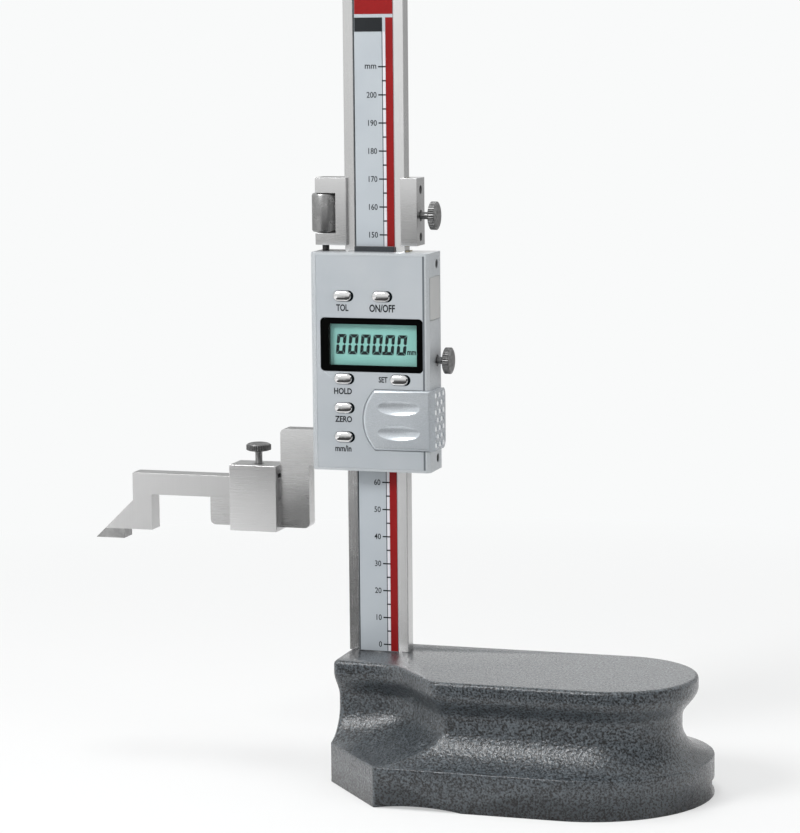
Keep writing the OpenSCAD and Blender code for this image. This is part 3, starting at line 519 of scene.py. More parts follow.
@dataclass(frozen=True)
class Striped:
    """Conductive rubber with fine stripes across its length, of a size in millimetres."""

    name: str
    colour: Colour
    stripe: Colour
    stripe_size: float = 0.8
    stripe_span: Pair = (0.4, 0.6)

    def build(self) -> bpy.types.Material:
        """Builds the finish.

        Returns:
            The material.
        """
        graph = Graph(self.name)
        stripes = graph.between(graph.bands(self.stripe_size), self.stripe_span)
        return graph.finish(Base_Color=graph.blend(stripes, self.colour, self.stripe), Roughness=0.7)


FINISHES = (
    HammerPaint("cast_paint", ground=tone(46, 52, 57), pale=tone(88, 95, 100), speck=tone(6, 7, 9)),
    GroundSteel("column_steel", grey(204), Axis.Z, roughness=0.24, lean=(3.9, 4.2), lean_front=-2.6),
    Moulded("scale_film", tone(174, 181, 186), tone(168, 175, 181), roughness=0.4, flake=0.1,
            grain_size=0.3, grain_depth=0.003),
    # On the set screws, whose slot is bright steel, this dark tone is painted shade for their sockets' shadow
    TurnedSteel("black_steel", grey(70), grey(50), roughness=0.35),
    TurnedSteel("bright_steel", grey(142), grey(108), roughness=0.34),
    # Painted shade: a darker copy of the bright steel, for the knobs' ribbed rims
    TurnedSteel("rim_shaded_steel", grey(126), grey(98), roughness=0.34),
    GroundSteel("frame_steel", grey(203), Axis.X, roughness=0.28, crown_at=108.0, crown_reach=18.0,
                crown_angle=7.0, crown_from=-37.4),
    GroundSteel("carriage_steel", grey(193), Axis.X, crown_at=208.0, crown_angle=6.0),
    # Painted light: a paler copy of the frame's steel, so the clamp shows brighter
    GroundSteel("clamp_lit_steel", grey(222), Axis.X, crown_at=98.0, crown_angle=-4.0),
    GroundSteel("scriber_steel", grey(206), Axis.Z, roughness=0.34),
    TurnedSteel("carbide", grey(168), grey(150), roughness=0.42, stain_size=3.0),
    TurnedSteel("brass", tone(160, 148, 120), tone(134, 122, 96), roughness=0.34),
    TurnedSteel("knurled_steel", grey(160), grey(142), stain_size=2.5),
    Moulded("cover_plastic", tone(194, 198, 201), tone(188, 193, 197), roughness=0.3, flake=0.4),
    Moulded("lid_plastic", tone(190, 195, 199), tone(184, 190, 195), roughness=0.25, flake=0.5),
    # Painted highlight: a much paler copy of the lid's plastic, so the studs show as bright glints
    Moulded("stud_highlit_plastic", tone(232, 234, 236), tone(224, 227, 230), roughness=0.18, flake=0.3, coat=0.4),
    Moulded("panel_print", tone(176, 181, 185), tone(169, 175, 180), roughness=0.38, flake=0.25),
    Pressed("felt", tone(38, 42, 46), tone(66, 70, 74)),
    Moulded("bezel_black", grey(3), grey(5), roughness=0.5, grain_size=0.3, grain_depth=0.002, gloss=0.02),
    Pane("clear_window", tone(200, 225, 222)),
    Moulded("lcd_glass", tone(131, 184, 176), tone(124, 177, 170), roughness=0.6, grain_size=0.25,
            grain_depth=0.001, gloss=0.1),
    Striped("zebra_rubber", tone(205, 110, 135), grey(30)),
    Laminate("board_green", tone(34, 104, 68), tone(60, 132, 84)),
    Moulded("switch_dome", grey(44), grey(36), roughness=0.5),
    TurnedSteel("key_chrome", grey(225), grey(215), roughness=0.1, stain_size=3.0),
    TurnedSteel("cell_nickel", grey(205), grey(190), roughness=0.25),
    TurnedSteel("contact_gold", tone(226, 194, 116), tone(206, 172, 98), roughness=0.28),
    Moulded("port_plastic", tone(186, 187, 186), tone(178, 179, 179), roughness=0.5, flake=0.1),
    Moulded("ink_dark", tone(30, 33, 36), tone(22, 25, 28), roughness=0.6, grain_size=0.2,
            grain_depth=0.002, gloss=0.2),
    Moulded("ink_red", tone(138, 14, 16), tone(128, 10, 12), grain_size=0.3, grain_depth=0.002, gloss=0.2),
    Moulded("ink_pale", tone(212, 210, 214), tone(204, 202, 208), grain_size=0.3, grain_depth=0.002),
    Moulded("ink_segment", tone(8, 14, 18), tone(10, 16, 20), roughness=0.6, grain_size=0.3,
            grain_depth=0.001, gloss=0.05),
    # Painted shade: the grey of the step's shadow along the panel's right edge
    Moulded("painted_step_shade", tone(96, 101, 106), tone(84, 89, 94), roughness=0.7, grain_size=0.3,
            grain_depth=0.004),
)


class Workshop:
    """Holds the materials, and gives each finished piece its material and body."""

    def __init__(self, finishes: Iterable[object]) -> None:
        """Builds every finish.

        Args:
            finishes: The finishes, each with a name and a build method.
        """
        self.materials = {finish.name: finish.build() for finish in finishes}
        self.slots = {m["slot"] for m in frame["record"]["materials"]}

    def dress(self, slot: str, *nodes: str) -> None:
        """Gives CAD nodes their material.

        Args:
            slot: The material's name.
            nodes: The nodes.
        """
        for node in nodes:
            for place in frame["nodes"][node].material_slots:
                place.material = self.materials[slot]
            log.info("node %s: %s", node, slot)

    def deliver(self, piece: bpy.types.Object, slot: str, body: str, *replaced: str,
                finish: str = "") -> None:
        """Gives a finished piece its material and its body.

        Args:
            piece: The piece, in its place.
            slot: The record's slot for its material, and the material's name unless a finish is given.
            body: The CAD body that it rides on.
            replaced: CAD nodes that it stands for.
            finish: Another material's name.
        """
        piece.data.materials.clear()
        piece.data.materials.append(self.materials[finish or slot])
        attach(piece, body)
        if replaced:
            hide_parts(*replaced)
        log.info("piece %s: %s on %s, %d faces", piece.name, finish or slot, body, len(piece.data.polygons))

    def soften(self, node: str, name: str, slot: str, body: str, width: float = 0.0, finish: str = "",
               **edges: float) -> None:
        """Puts a copy of a CAD node with softer edges in the node's place.

        Args:
            node: The CAD node.
            name: The piece's name.
            slot: The record's slot for its material.
            body: The CAD body that it rides on.
            width: Width of the broken edge in millimetres.
            finish: Another material's name.
            edges: More of what softened takes.
        """
        self.deliver(softened(node, name, width, **edges), slot, body, node, finish=finish)


def linked(name: str, data: bpy.types.ID) -> bpy.types.Object:
    """Makes an object at the scene's origin.

    Args:
        name: The object's name.
        data: Its mesh, curve, light or camera.

    Returns:
        The object.
    """
    made = bpy.data.objects.new(name, data)
    bpy.context.scene.collection.objects.link(made)
    return made


def meshed(name: str, bm: bmesh.types.BMesh) -> bpy.types.Mesh:
    """Makes a mesh from a shape.

    Args:
        name: The mesh's name.
        bm: The shape, which is freed.

    Returns:
        The mesh.
    """
    mesh = bpy.data.meshes.new(name)
    bm.to_mesh(mesh)
    bm.free()
    return mesh


def new_piece(name: str, bm: bmesh.types.BMesh, sharp: float = 35.0) -> bpy.types.Object:
    """Makes an object from a finished shape.

    Args:
        name: The piece's name.
        bm: The shape, in metres, which is freed.
        sharp: Angle in degrees past which an edge stays sharp.

    Returns:
        The object, at the origin.
    """
    mesh = meshed(name, bm)
    mesh.polygons.foreach_set("use_smooth", [True] * len(mesh.polygons))
    mesh.set_sharp_from_angle(angle=math.radians(sharp))
    return linked(name, mesh)


def even_normals(piece: bpy.types.Object) -> bpy.types.Object:
    """Keeps large flat faces flat beside small bevels.

    Args:
        piece: The piece.

    Returns:
        The same piece.
    """
    even = piece.modifiers.new("even", "WEIGHTED_NORMAL")
    even.keep_sharp = True
    even.weight = 100
    return piece


def merged_copy(node: str, flat: bool) -> bmesh.types.BMesh:
    """Copies a CAD node's mesh and joins its loose triangles.

    Args:
        node: The CAD node.
        flat: Whether triangles in one plane become one face.

    Returns:
        The shape.
    """
    bm = bmesh.new()
    bm.from_mesh(frame["nodes"][node].data)
    bmesh.ops.remove_doubles(bm, verts=bm.verts, dist=0.002 * MM)
    if flat:
        bmesh.ops.dissolve_limit(bm, angle_limit=math.radians(0.6), verts=bm.verts, edges=bm.edges)
    return bm


def softened(node: str, name: str, width: float, shortest: float = 0.8, steps: int = 2,
             sharp: float = 35.0) -> bpy.types.Object:
    """Copies a CAD node and breaks its sharp outer edges.

    Args:
        node: The CAD node.
        name: The piece's name.
        width: Width of the broken edge in millimetres; 0 leaves the edges.
        shortest: Edges shorter than this, in millimetres, stay sharp.
        steps: Segments across the broken edge.
        sharp: Angle in degrees past which an edge stays sharp to the light.

    Returns:
        The piece.
    """
    bm = merged_copy(node, flat=width > 0)
    if width:
        least_turn = math.radians(30)
        outer = [e for e in bm.edges if e.is_manifold and e.is_convex and e.calc_length() > shortest * MM
                 and e.calc_face_angle(0) > least_turn]
        bmesh.ops.bevel(bm, geom=outer, offset=width * MM, offset_type="OFFSET", segments=steps, profile=0.5,
                        affect="EDGES", clamp_overlap=True)
    return even_normals(new_piece(name, bm, sharp))


def rounded_front(node: str, name: str, width: float, steps: int) -> bpy.types.Object:
    """Copies a CAD node and rounds the outline of its front face.

    Args:
        node: The CAD node.
        name: The piece's name.
        width: Width of the rounding in millimetres.
        steps: Segments across it.

    Returns:
        The piece.
    """
    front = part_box(node)[0].y
    sideways, ahead = 0.1, 0.99
    bm = merged_copy(node, flat=True)

    def is_outline(edge: bmesh.types.BMEdge) -> bool:
        """Tells whether an edge belongs to the front's outline.

        Args:
            edge: The edge.

        Returns:
            Whether it joins the front face to a side.
        """
        if not edge.is_manifold or any(abs(v.co.y - front) >= NEAR for v in edge.verts):
            return False
        facing = sorted(abs(f.normal.y) for f in edge.link_faces)
        return facing[0] < sideways and facing[1] > ahead

    bmesh.ops.bevel(bm, geom=[e for e in bm.edges if is_outline(e)], offset=width * MM, offset_type="OFFSET",
                    segments=steps, profile=0.5, affect="EDGES", clamp_overlap=False)
    return even_normals(new_piece(name, bm))


def lathe(name: str, profile: Sequence[Pair], axis: Axis, centre: Pair, steps: int = 72) -> bpy.types.Object:
    """Turns a profile round an axis.

    Args:
        name: The piece's name.
        profile: Radius and place along the axis, in millimetres, from one end to the other.
        axis: The axis, X or Z.
        centre: Where the axis passes: its Y and Z for axis X, its X and Y for axis Z.
        steps: Steps round the axis.

    Returns:
        The closed piece.
    """
    bm = bmesh.new()

    def point(radius: float, along: float, angle: float) -> Vector:
        """Returns a point of the turned surface in metres."""
        u, v = centre[0] + radius * math.cos(angle), centre[1] + radius * math.sin(angle)
        return Vector((along, u, v) if axis is Axis.X else (u, v, along)) * MM

    turns = [2 * math.pi * i / steps for i in range(steps)]
    rings = [[bm.verts.new(point(r, h, a)) for a in turns] if r > 0 else [bm.verts.new(point(0, h, 0))]
             for r, h in profile]
    for low, high in zip(rings, rings[1:]):
        for i in range(steps):
            j = (i + 1) % steps
            corners = [low[i % len(low)], low[j % len(low)], high[j % len(high)], high[i % len(high)]]
            bm.faces.new(list(dict.fromkeys(corners)))
    bmesh.ops.recalc_face_normals(bm, faces=bm.faces)
    return new_piece(name, bm)


def bridge(bm: bmesh.types.BMesh, loops: Sequence[Sequence[bmesh.types.BMVert]]) -> list[bmesh.types.BMFace]:
    """Joins closed loops of equally many points, each to the next.

    Args:
        bm: The shape that they are in.
        loops: The points of each loop.

    Returns:
        The new faces.
    """
    count = len(loops[0])
    return [bm.faces.new([back[i], back[(i + 1) % count], ahead[(i + 1) % count], ahead[i]])
            for back, ahead in zip(loops, loops[1:]) for i in range(count)]


def plate(bm: bmesh.types.BMesh, outline: Sequence[Pair], front: float, thick: float = INK) -> None:
    """Adds an upright plate that faces the front.

    Args:
        bm: The shape that it is added to.
        outline: Points in X and Z, in millimetres, one way round.
        front: Y of its front face in millimetres.
        thick: Its thickness in millimetres.
    """
    rings = [[bm.verts.new(Vector((x, y, z)) * MM) for x, z in outline] for y in (front, front + thick)]
    faces = [bm.faces.new(rings[0]), bm.faces.new(reversed(rings[1])), *bridge(bm, rings)]
    bmesh.ops.recalc_face_normals(bm, faces=faces)


def bar(bm: bmesh.types.BMesh, x: Pair, z: Pair, front: float, thick: float = INK) -> None:
    """Adds an upright rectangular plate between two X and two Z places."""
    plate(bm, [(x[0], z[0]), (x[1], z[0]), (x[1], z[1]), (x[0], z[1])], front, thick)


@dataclass(frozen=True)
class Word:
    """A word or number that is printed on a surface facing the front. Sizes are in millimetres."""

    text: str
    x: float
    z: float
    height: float
    anchor: Anchor = Anchor.MIDDLE
    squeeze: float = 0.82
    bold: float = 0.0


def printed(name: str, words: Iterable[Word], front: float, thick: float = INK) -> bpy.types.Object:
    """Prints words as one thin mesh.

    Args:
        name: The piece's name.
        words: The words and their places.
        front: Y of the print's front in millimetres.
        thick: The print's thickness in millimetres.

    Returns:
        The piece.
    """
    bm = bmesh.new()
    rise = 0.05
    for word in words:
        curve = bpy.data.curves.new("letters", "FONT")
        curve.body = word.text
        curve.extrude = rise
        curve.offset = word.bold
        curve.resolution_u = 3
        holder = linked("letters", curve)
        bpy.context.view_layer.update()
        flat = bpy.data.meshes.new_from_object(holder)
        xs = [v.co.x for v in flat.vertices]
        ys = [v.co.y for v in flat.vertices]
        scale = word.height * MM / (max(ys) - min(ys))
        wide = scale * word.squeeze
        shift = -min(xs) - word.anchor.value * (max(xs) - min(xs))
        middle = (max(ys) + min(ys)) / 2
        for v in flat.vertices:
            x, y, z = v.co
            v.co = (word.x * MM + (x + shift) * wide, (front + thick / 2 - z / rise * thick / 2) * MM,
                    word.z * MM + (y - middle) * scale)
        bm.from_mesh(flat)
        bpy.data.objects.remove(holder)
        bpy.data.curves.remove(curve)
        bpy.data.meshes.remove(flat)
    bmesh.ops.remove_doubles(bm, verts=bm.verts, dist=0.0005 * MM)
    return new_piece(name, bm, sharp=20.0)


class Rule(Nodes):
    """A geometry node tree with named inputs, which makes one mesh that follows a rule."""

    def __init__(self, name: str, counts: dict[str, int], sizes: dict[str, float]) -> None:
        """Starts the tree.

        Args:
            name: The tree's name.
            counts: Input name to a whole number.
            sizes: Input name to a size in millimetres.
        """
        super().__init__(bpy.data.node_groups.new(name, "GeometryNodeTree"))
        self.values = {}
        for label, count in counts.items():
            self.socket(label, "NodeSocketInt", count)
        for label, size in sizes.items():
            self.socket(label, "NodeSocketFloat", size * MM)
        self.socket("Material", "NodeSocketMaterial", None)
        self.tree.interface.new_socket("Geometry", in_out="OUTPUT", socket_type="NodeSocketGeometry")
        self.given = self.tree.nodes.new("NodeGroupInput").outputs

    def socket(self, label: str, kind: str, value: object) -> None:
        """Gives the tree an input, and keeps its identifier and value."""
        made = self.tree.interface.new_socket(label, in_out="INPUT", socket_type=kind)
        self.values[label] = (made.identifier, value)

    def vector(self, x: object = 0.0, y: object = 0.0, z: object = 0.0) -> Socket:
        """Joins three values into a vector."""
        return self.node("ShaderNodeCombineXYZ", {0: x, 1: y, 2: z}).outputs[0]

    def index(self) -> Socket:
        """Returns each point's number."""
        return self.node("GeometryNodeInputIndex").outputs[0]

    def end(self, points: Socket, instance: Socket, rotation: Socket | None = None,
            scale: Socket | None = None, turn: Triple = (0, 0, 0)) -> None:
        """Puts an instance on each point, moves them all by X, Y and Z, and makes them real.

        Args:
            points: The points.
            instance: The shape that repeats.
            rotation: Each instance's turn, if any.
            scale: Each instance's scale, if any.
            turn: How the whole is turned before it is moved.
        """
        wanted = {"Points": points, "Instance": instance, "Rotation": rotation, "Scale": scale}
        given = {label: value for label, value in wanted.items() if value is not None}
        put = self.node("GeometryNodeInstanceOnPoints", given).outputs[0]
        shift = self.vector(*(self.given[label] for label in "XYZ"))
        moved = self.node("GeometryNodeTransform", {"Geometry": put, "Rotation": turn, "Translation": shift})
        real = self.node("GeometryNodeRealizeInstances", {"Geometry": moved.outputs[0]}).outputs[0]
        dressed = self.node("GeometryNodeSetMaterial", {"Geometry": real, "Material": self.given["Material"]})
        self.node("NodeGroupOutput", {"Geometry": dressed.outputs[0]})

    def make(self, name: str, material: bpy.types.Material) -> bpy.types.Object:
        """Evaluates the tree into a plain mesh.

        Args:
            name: The piece's name.
            material: The material of its faces.

        Returns:
            The piece.
        """
        holder = linked("rule", bpy.data.meshes.new("rule"))
        modifier = holder.modifiers.new("rule", "NODES")
        modifier.node_group = self.tree
        for label, (identifier, value) in self.values.items():
            modifier[identifier] = material if label == "Material" else value
        bpy.context.view_layer.update()
        mesh = bpy.data.meshes.new_from_object(holder.evaluated_get(bpy.context.evaluated_depsgraph_get()))
        holder.modifiers.remove(modifier)
        bpy.data.objects.remove(holder)
        mesh.name = name
        return linked(name, mesh)


def graduations(count: int, pitch: float, every: int, long: float, short: float, line: float,
                right: float, front: float, start: float) -> Rule:
    """Makes the rule of a scale's marks: level bars up a line, each few of them long.

    Args:
        count: Number of marks.
        pitch: Distance between them in millimetres, as are the sizes below.
        every: A long mark stands at each such number.
        long: Length of a long mark.
        short: Length of a short one.
        line: Height of a mark.
        right: X of the marks' right ends.
        front: Y of the print's front.
        start: Z of the first mark.

    Returns:
        The rule.
    """
    rule = Rule("graduations", {"Count": count, "Every": every},
                {"Pitch": pitch, "Long": long, "Short": short, "Line": line, "Thick": INK,
                 "X": right, "Y": front, "Z": start})
    given = rule.given
    spacing = {"Count": given["Count"], "Offset": rule.vector(z=given["Pitch"])}
    points = rule.node("GeometryNodeMeshLine", spacing, mode="OFFSET").outputs[0]
    is_short = rule.math("GREATER_THAN", rule.math("MODULO", rule.index(), given["Every"]), 0.5)
    gain = rule.math("SUBTRACT", given["Short"], given["Long"])
    length = rule.math("ADD", given["Long"], rule.math("MULTIPLY", is_short, gain))
    cube = rule.node("GeometryNodeMeshCube").outputs[0]
    mark = rule.node("GeometryNodeTransform", {"Geometry": cube, "Translation": (-0.5, 0.5, 0)}).outputs[0]
    rule.end(points, mark, scale=rule.vector(length, given["Thick"], given["Line"]))
    return rule


def rib_ring(count: int, radius: float, rib: float, length: float, axis: Axis, middle: Triple,
             sides: int = 4) -> Rule:
    """Makes the rule of a knurled rim: straight ribs round an axis.

    Args:
        count: Number of ribs.
        radius: Radius on which the ribs' middles lie, in millimetres, as are the sizes below.
        rib: Radius of a rib.
        length: Length of a rib.
        axis: The axis, X or Z.
        middle: The middle of the ring.
        sides: Sides of a rib.

    Returns:
        The rule.
    """
    rule = Rule("rib_ring", {"Count": count, "Sides": sides},
                {"Radius": radius, "Rib": rib, "Length": length, **dict(zip("XYZ", middle))})
    given = rule.given
    circle = {"Vertices": given["Count"], "Radius": given["Radius"]}
    points = rule.node("GeometryNodeMeshCircle", circle).outputs[0]
    turn = rule.math("DIVIDE", rule.math("MULTIPLY", rule.index(), 2 * math.pi), given["Count"])
    sizes = {"Vertices": given["Sides"], "Radius": given["Rib"], "Depth": given["Length"]}
    rod = rule.node("GeometryNodeMeshCylinder", sizes).outputs["Mesh"]
    laid = (0, math.pi / 2, 0) if axis is Axis.X else (0, 0, 0)
    rule.end(points, rod, rotation=rule.vector(z=turn), turn=laid)
    return rule


def stud_field(rows: int, columns: int, pitch: Pair, radius: float, height: float, middle: Triple) -> Rule:
    """Makes the rule of a grip: domed studs that stand out along X in staggered rows.

    Args:
        rows: Number of rows up.
        columns: Number of columns from front to back.
        pitch: Distance of rows and of columns in millimetres, as are the sizes below.
        radius: Radius of a stud.
        height: How far it stands out.
        middle: The middle of the field.

    Returns:
        The rule.
    """
    rule = Rule("stud_field", {"Rows": rows, "Columns": columns},
                {"Row pitch": pitch[0], "Column pitch": pitch[1], "Radius": radius, "Height": height,
                 **dict(zip("XYZ", middle))})
    given, index = rule.given, rule.index()
    row = rule.math("FLOOR", rule.math("DIVIDE", rule.math("ADD", index, 0.5), given["Columns"]))
    column = rule.math("MODULO", index, given["Columns"])

    def centred(number: Socket, count: str, pitch_name: str) -> Socket:
        """Returns the place of a row or column, with the field's middle at nought."""
        half = rule.math("DIVIDE", rule.math("SUBTRACT", given[count], 1.0), 2.0)
        return rule.math("MULTIPLY", rule.math("SUBTRACT", number, half), given[pitch_name])

    place = rule.vector(0.0, centred(column, "Columns", "Column pitch"), centred(row, "Rows", "Row pitch"))
    total = rule.math("MULTIPLY", given["Rows"], given["Columns"])
    points = rule.node("GeometryNodePoints", {"Count": total, "Position": place}).outputs[0]
    odd = rule.math("GREATER_THAN", rule.math("MODULO", rule.math("ADD", row, column), 2.0), 0.5)
    kept = rule.node("GeometryNodeDeleteGeometry", {"Geometry": points, "Selection": odd}).outputs[0]
    stud = rule.node("GeometryNodeMeshIcoSphere", {"Radius": 1.0, "Subdivisions": 3}).outputs[0]
    size = rule.vector(given["Height"], given["Radius"], given["Radius"])
    rule.end(kept, stud, scale=size)
    return rule


def box_mm(node: str) -> tuple[Vector, Vector]:
    """Returns a node's lowest and highest corner in millimetres."""
    low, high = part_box(node)
    return low / MM, high / MM


def middle_mm(node: str) -> Vector:
    """Returns a node's middle in millimetres."""
    low, high = box_mm(node)
    return (low + high) / 2


@dataclass
class Stand:
    """The cast base, the column and the printed scale. Sizes are in millimetres."""

    shop: Workshop
    zero: float = 2.6
    pitch: float = 5.0
    marks: int = 43
    long_every: int = 2
    mark_right: float = 4.65
    long_mark: float = 2.85
    short_mark: float = 1.45
    mark_line: float = 0.5
    rail: Pair = (3.25, 3.5)
    pale: Pair = (3.6, 4.5)
    margin: float = 0.1
    left_line: Pair = (0.05, 0.4)
    field_left: float = 0.5
    stripe_left: float = 4.62
    stripe_edge: float = 0.06
    number_right: float = 1.15
    number_height: float = 2.15
    number_bold: float = 0.012
    number_squeeze: float = 0.86
    unit_share: float = 0.7
    unit_squeeze: float = 0.95
    field_start: float = 270.0
    lower_bar: Pair = (0.0, 5.0)
    red_field: Pair = (6.2, 62.0)
    upper_bar: Pair = (63.2, 66.0)

    def build(self) -> None:
        """Builds the stand's pieces."""
        soften = self.shop.soften
        soften("base", "base_casting", "cast_paint", "stand", sharp=44.0)
        soften("beam", "column_bar", "column_steel", "stand", width=0.3, shortest=2.0)
        soften("scale_strip", "scale_plate", "scale_film", "stand", width=0.05)
        soften("stop_screw", "stop_screw_head", "bright_steel", "stand", width=0.12, shortest=0.5)
        self.shop.dress("black_steel", "beam_screws")
        low, high = box_mm("scale_strip")
        front = low.y - INK
        self.marks_and_numbers(box_mm("base")[1].z + self.zero, front)
        self.stripes(low, high, front)

    def stripes(self, low: Vector, high: Vector, front: float) -> None:
        """Prints the lines beside the marks and the coloured field at the scale's top.

        Args:
            low: The scale plate's lowest corner.
            high: Its highest corner.
            front: Y of the print's front.
        """
        foot, field, edge = low.z + self.margin, low.x + self.field_left, high.x - self.stripe_edge
        lower, red, upper = ([self.field_start + z for z in span]
                             for span in (self.lower_bar, self.red_field, self.upper_bar))
        stripe, pale, dark = bmesh.new(), bmesh.new(), bmesh.new()
        bar(stripe, (self.stripe_left, edge), (foot, lower[1]), front)
        bar(stripe, (field, edge), red, front)
        bar(pale, self.pale, (foot, self.field_start), front + INK / 2, INK / 2)
        bar(dark, self.rail, (foot, self.field_start), front + INK / 4, INK * 3 / 4)
        bar(dark, tuple(low.x + x for x in self.left_line), (foot, high.z - self.margin), front + INK / 4,
            INK * 3 / 4)
        bar(dark, (field, self.rail[1]), lower, front)
        bar(dark, (field, edge), upper, front)
        for name, shape, slot in (("scale_stripe", stripe, "ink_red"), ("scale_pale_line", pale, "ink_pale"),
                                  ("scale_rail", dark, "ink_dark")):
            self.shop.deliver(new_piece(name, shape), slot, "stand")

    def marks_and_numbers(self, zero: float, front: float) -> None:
        """Prints the marks and the numbers.

        Args:
            zero: Z of the scale's zero.
            front: Y of the print's front.
        """
        rule = graduations(self.marks, self.pitch, self.long_every, self.long_mark, self.short_mark,
                           self.mark_line, self.mark_right, front, zero)
        ticks = rule.make("scale_marks", self.shop.materials["ink_dark"])
        self.shop.deliver(ticks, "ink_dark", "stand")
        step, top = int(self.long_every * self.pitch), int(self.pitch * (self.marks - 1))
        words = [Word(str(n), self.number_right, zero + n, self.number_height, Anchor.RIGHT,
                      self.number_squeeze, self.number_bold) for n in range(0, top, step)]
        words.append(Word("mm", self.number_right, zero + top, self.number_height * self.unit_share,
                          Anchor.RIGHT, self.unit_squeeze, self.number_bold))
        self.shop.deliver(printed("scale_numbers", words, front), "ink_dark", "stand")


@dataclass
class ThumbScrew:
    """A thumb screw with a ribbed, slightly domed knob. Sizes are in millimetres."""

    shop: Workshop
    node: str
    body: str
    axis: Axis
    reach: float
    knob: float = 3.1
    neck: float = 2.6
    neck_flare: Pair = (0.8, 0.15)
    flare: float = 0.5
    thread: float = 4.0
    thread_edge: float = 0.4
    shoulder: float = 0.2
    dome: float = 0.35
    dome_steps: int = 7
    dome_power: float = 0.8
    edge: float = 0.35
    face_edge: Pair = (0.4, 0.05)
    core_share: float = 0.6
    rib: float = 0.5
    ribs: int = 34
    sides: int = 10

    def build(self) -> None:
        """Builds the screw and its ribs in place of its CAD node."""
        low, high = box_mm(self.node)
        middle = (low + high) / 2
        along, across = (0, 2) if self.axis is Axis.X else (2, 0)
        radius = (high[across] - low[across]) / 2
        place = (middle.y, middle.z) if self.axis is Axis.X else (middle.x, middle.y)
        name = self.node.replace("screw", "knob")
        screw = lathe(name, self.profile(low[along], high[along], radius), self.axis, place)
        self.shop.deliver(screw, "bright_steel", self.body, self.node)
        rim = (high[along] - self.knob + self.edge, high[along] - self.dome - self.edge)
        middle[along] = sum(rim) / 2
        length = self.knob - self.dome - 2 * self.edge
        rule = rib_ring(self.ribs, radius - self.rib, self.rib, length, self.axis, tuple(middle), self.sides)
        # The ribs take a darker copy of the screw's steel: painted shade on the rim
        ribs = rule.make(name + "_ribs", self.shop.materials["rim_shaded_steel"])
        self.shop.deliver(ribs, "bright_steel", self.body, finish="rim_shaded_steel")

    def profile(self, start: float, end: float, radius: float) -> list[Pair]:
        """Returns the screw's outline from its thread's end to the middle of its dome.

        Args:
            start: Place of the thread's end along the axis.
            end: Place of the dome's top.
            radius: The knob's radius.

        Returns:
            Radius and place along the axis of each point.
        """
        core, face = radius - self.rib * self.core_share, end - self.knob
        thread, neck, cap = self.thread / 2, self.neck / 2, self.dome + self.edge
        thread_end = face - self.reach
        points = [(0, start), (thread - self.thread_edge, start), (thread, start + self.thread_edge),
                  (thread, thread_end), (neck, thread_end + self.shoulder), (neck, face - self.neck_flare[0]),
                  (neck + self.flare, face - self.neck_flare[1]),
                  (core - self.edge - self.face_edge[0], face), (core - self.edge, face + self.face_edge[1]),
                  (core, face + self.edge), (core, end - cap)]
        for i in range(1, self.dome_steps + 1):
            a = math.pi / 2 * i / self.dome_steps
            points.append((core * math.cos(a) if i < self.dome_steps else 0,
                           end - cap + cap * math.sin(a) ** self.dome_power))
        return points


@dataclass
class FineAdjustment:
    """The carriage above the slider, its knurled nut and its lock. Sizes are in millimetres."""

    shop: Workshop
    rib: float = 0.16
    ribs: int = 72
    edge: float = 0.7
    edge_share: float = 0.3
    core_share: float = 0.35
    clearance: float = 0.05

    def build(self) -> None:
        """Builds the carriage's pieces."""
        self.shop.soften("carriage", "carriage_block", "frame_steel", "carriage", width=0.14, shortest=1.5,
                         finish="carriage_steel")
        self.shop.dress("brass", "carriage_gib", "carriage_lock_pad")
        # Painted shade: the set screws are dressed dark for the shadow in their sockets
        self.shop.dress("black_steel", "carriage_set_screws")
        ThumbScrew(self.shop, "carriage_lock_screw", "carriage_screw", Axis.X, reach=4.1).build()
        self.nut()

    def nut(self) -> None:
        """Builds the knurled nut round its stud."""
        low, high = box_mm("fine_nut")
        centre, radius = (low + high) / 2, (high.x - low.x) / 2
        stud_low, stud_high = box_mm("fine_stud")
        bore, core = (stud_high.x - stud_low.x) / 2 + self.clearance, radius - self.rib * self.core_share
        inner, outer = core - self.edge, core - self.edge * self.edge_share
        step = self.edge * self.edge_share
        profile = [(bore, low.z), (inner, low.z), (outer, low.z + step), (core, low.z + self.edge),
                   (core, high.z - self.edge), (outer, high.z - step), (inner, high.z), (bore, high.z),
                   (bore, low.z)]
        body = lathe("nut_core", profile, Axis.Z, (centre.x, centre.y))
        # The profile ends where it starts, so its first and last ring are joined into one
        bm = bmesh.new()
        bm.from_mesh(body.data)
        bmesh.ops.remove_doubles(bm, verts=bm.verts, dist=0.001 * MM)
        bmesh.ops.recalc_face_normals(bm, faces=bm.faces)
        bm.to_mesh(body.data)
        bm.free()
        self.shop.deliver(body, "knurled_steel", "nut", "fine_nut")
        length = high.z - low.z - 2 * self.edge
        rule = rib_ring(self.ribs, radius - self.rib, self.rib, length, Axis.Z, tuple(centre))
        ribs = rule.make("nut_knurl", self.shop.materials["knurled_steel"])
        self.shop.deliver(ribs, "knurled_steel", "nut")


@dataclass(frozen=True)
class Label:
    """A key's plain label. Sizes are in millimetres.

    It stands across from the middle of one key, its column, and up from the middle of another, its row.
    """

    text: str
    column: str
    row: str
    across: float
    up: float
    height: float
    squeeze: float
    anchor: Anchor = Anchor.MIDDLE


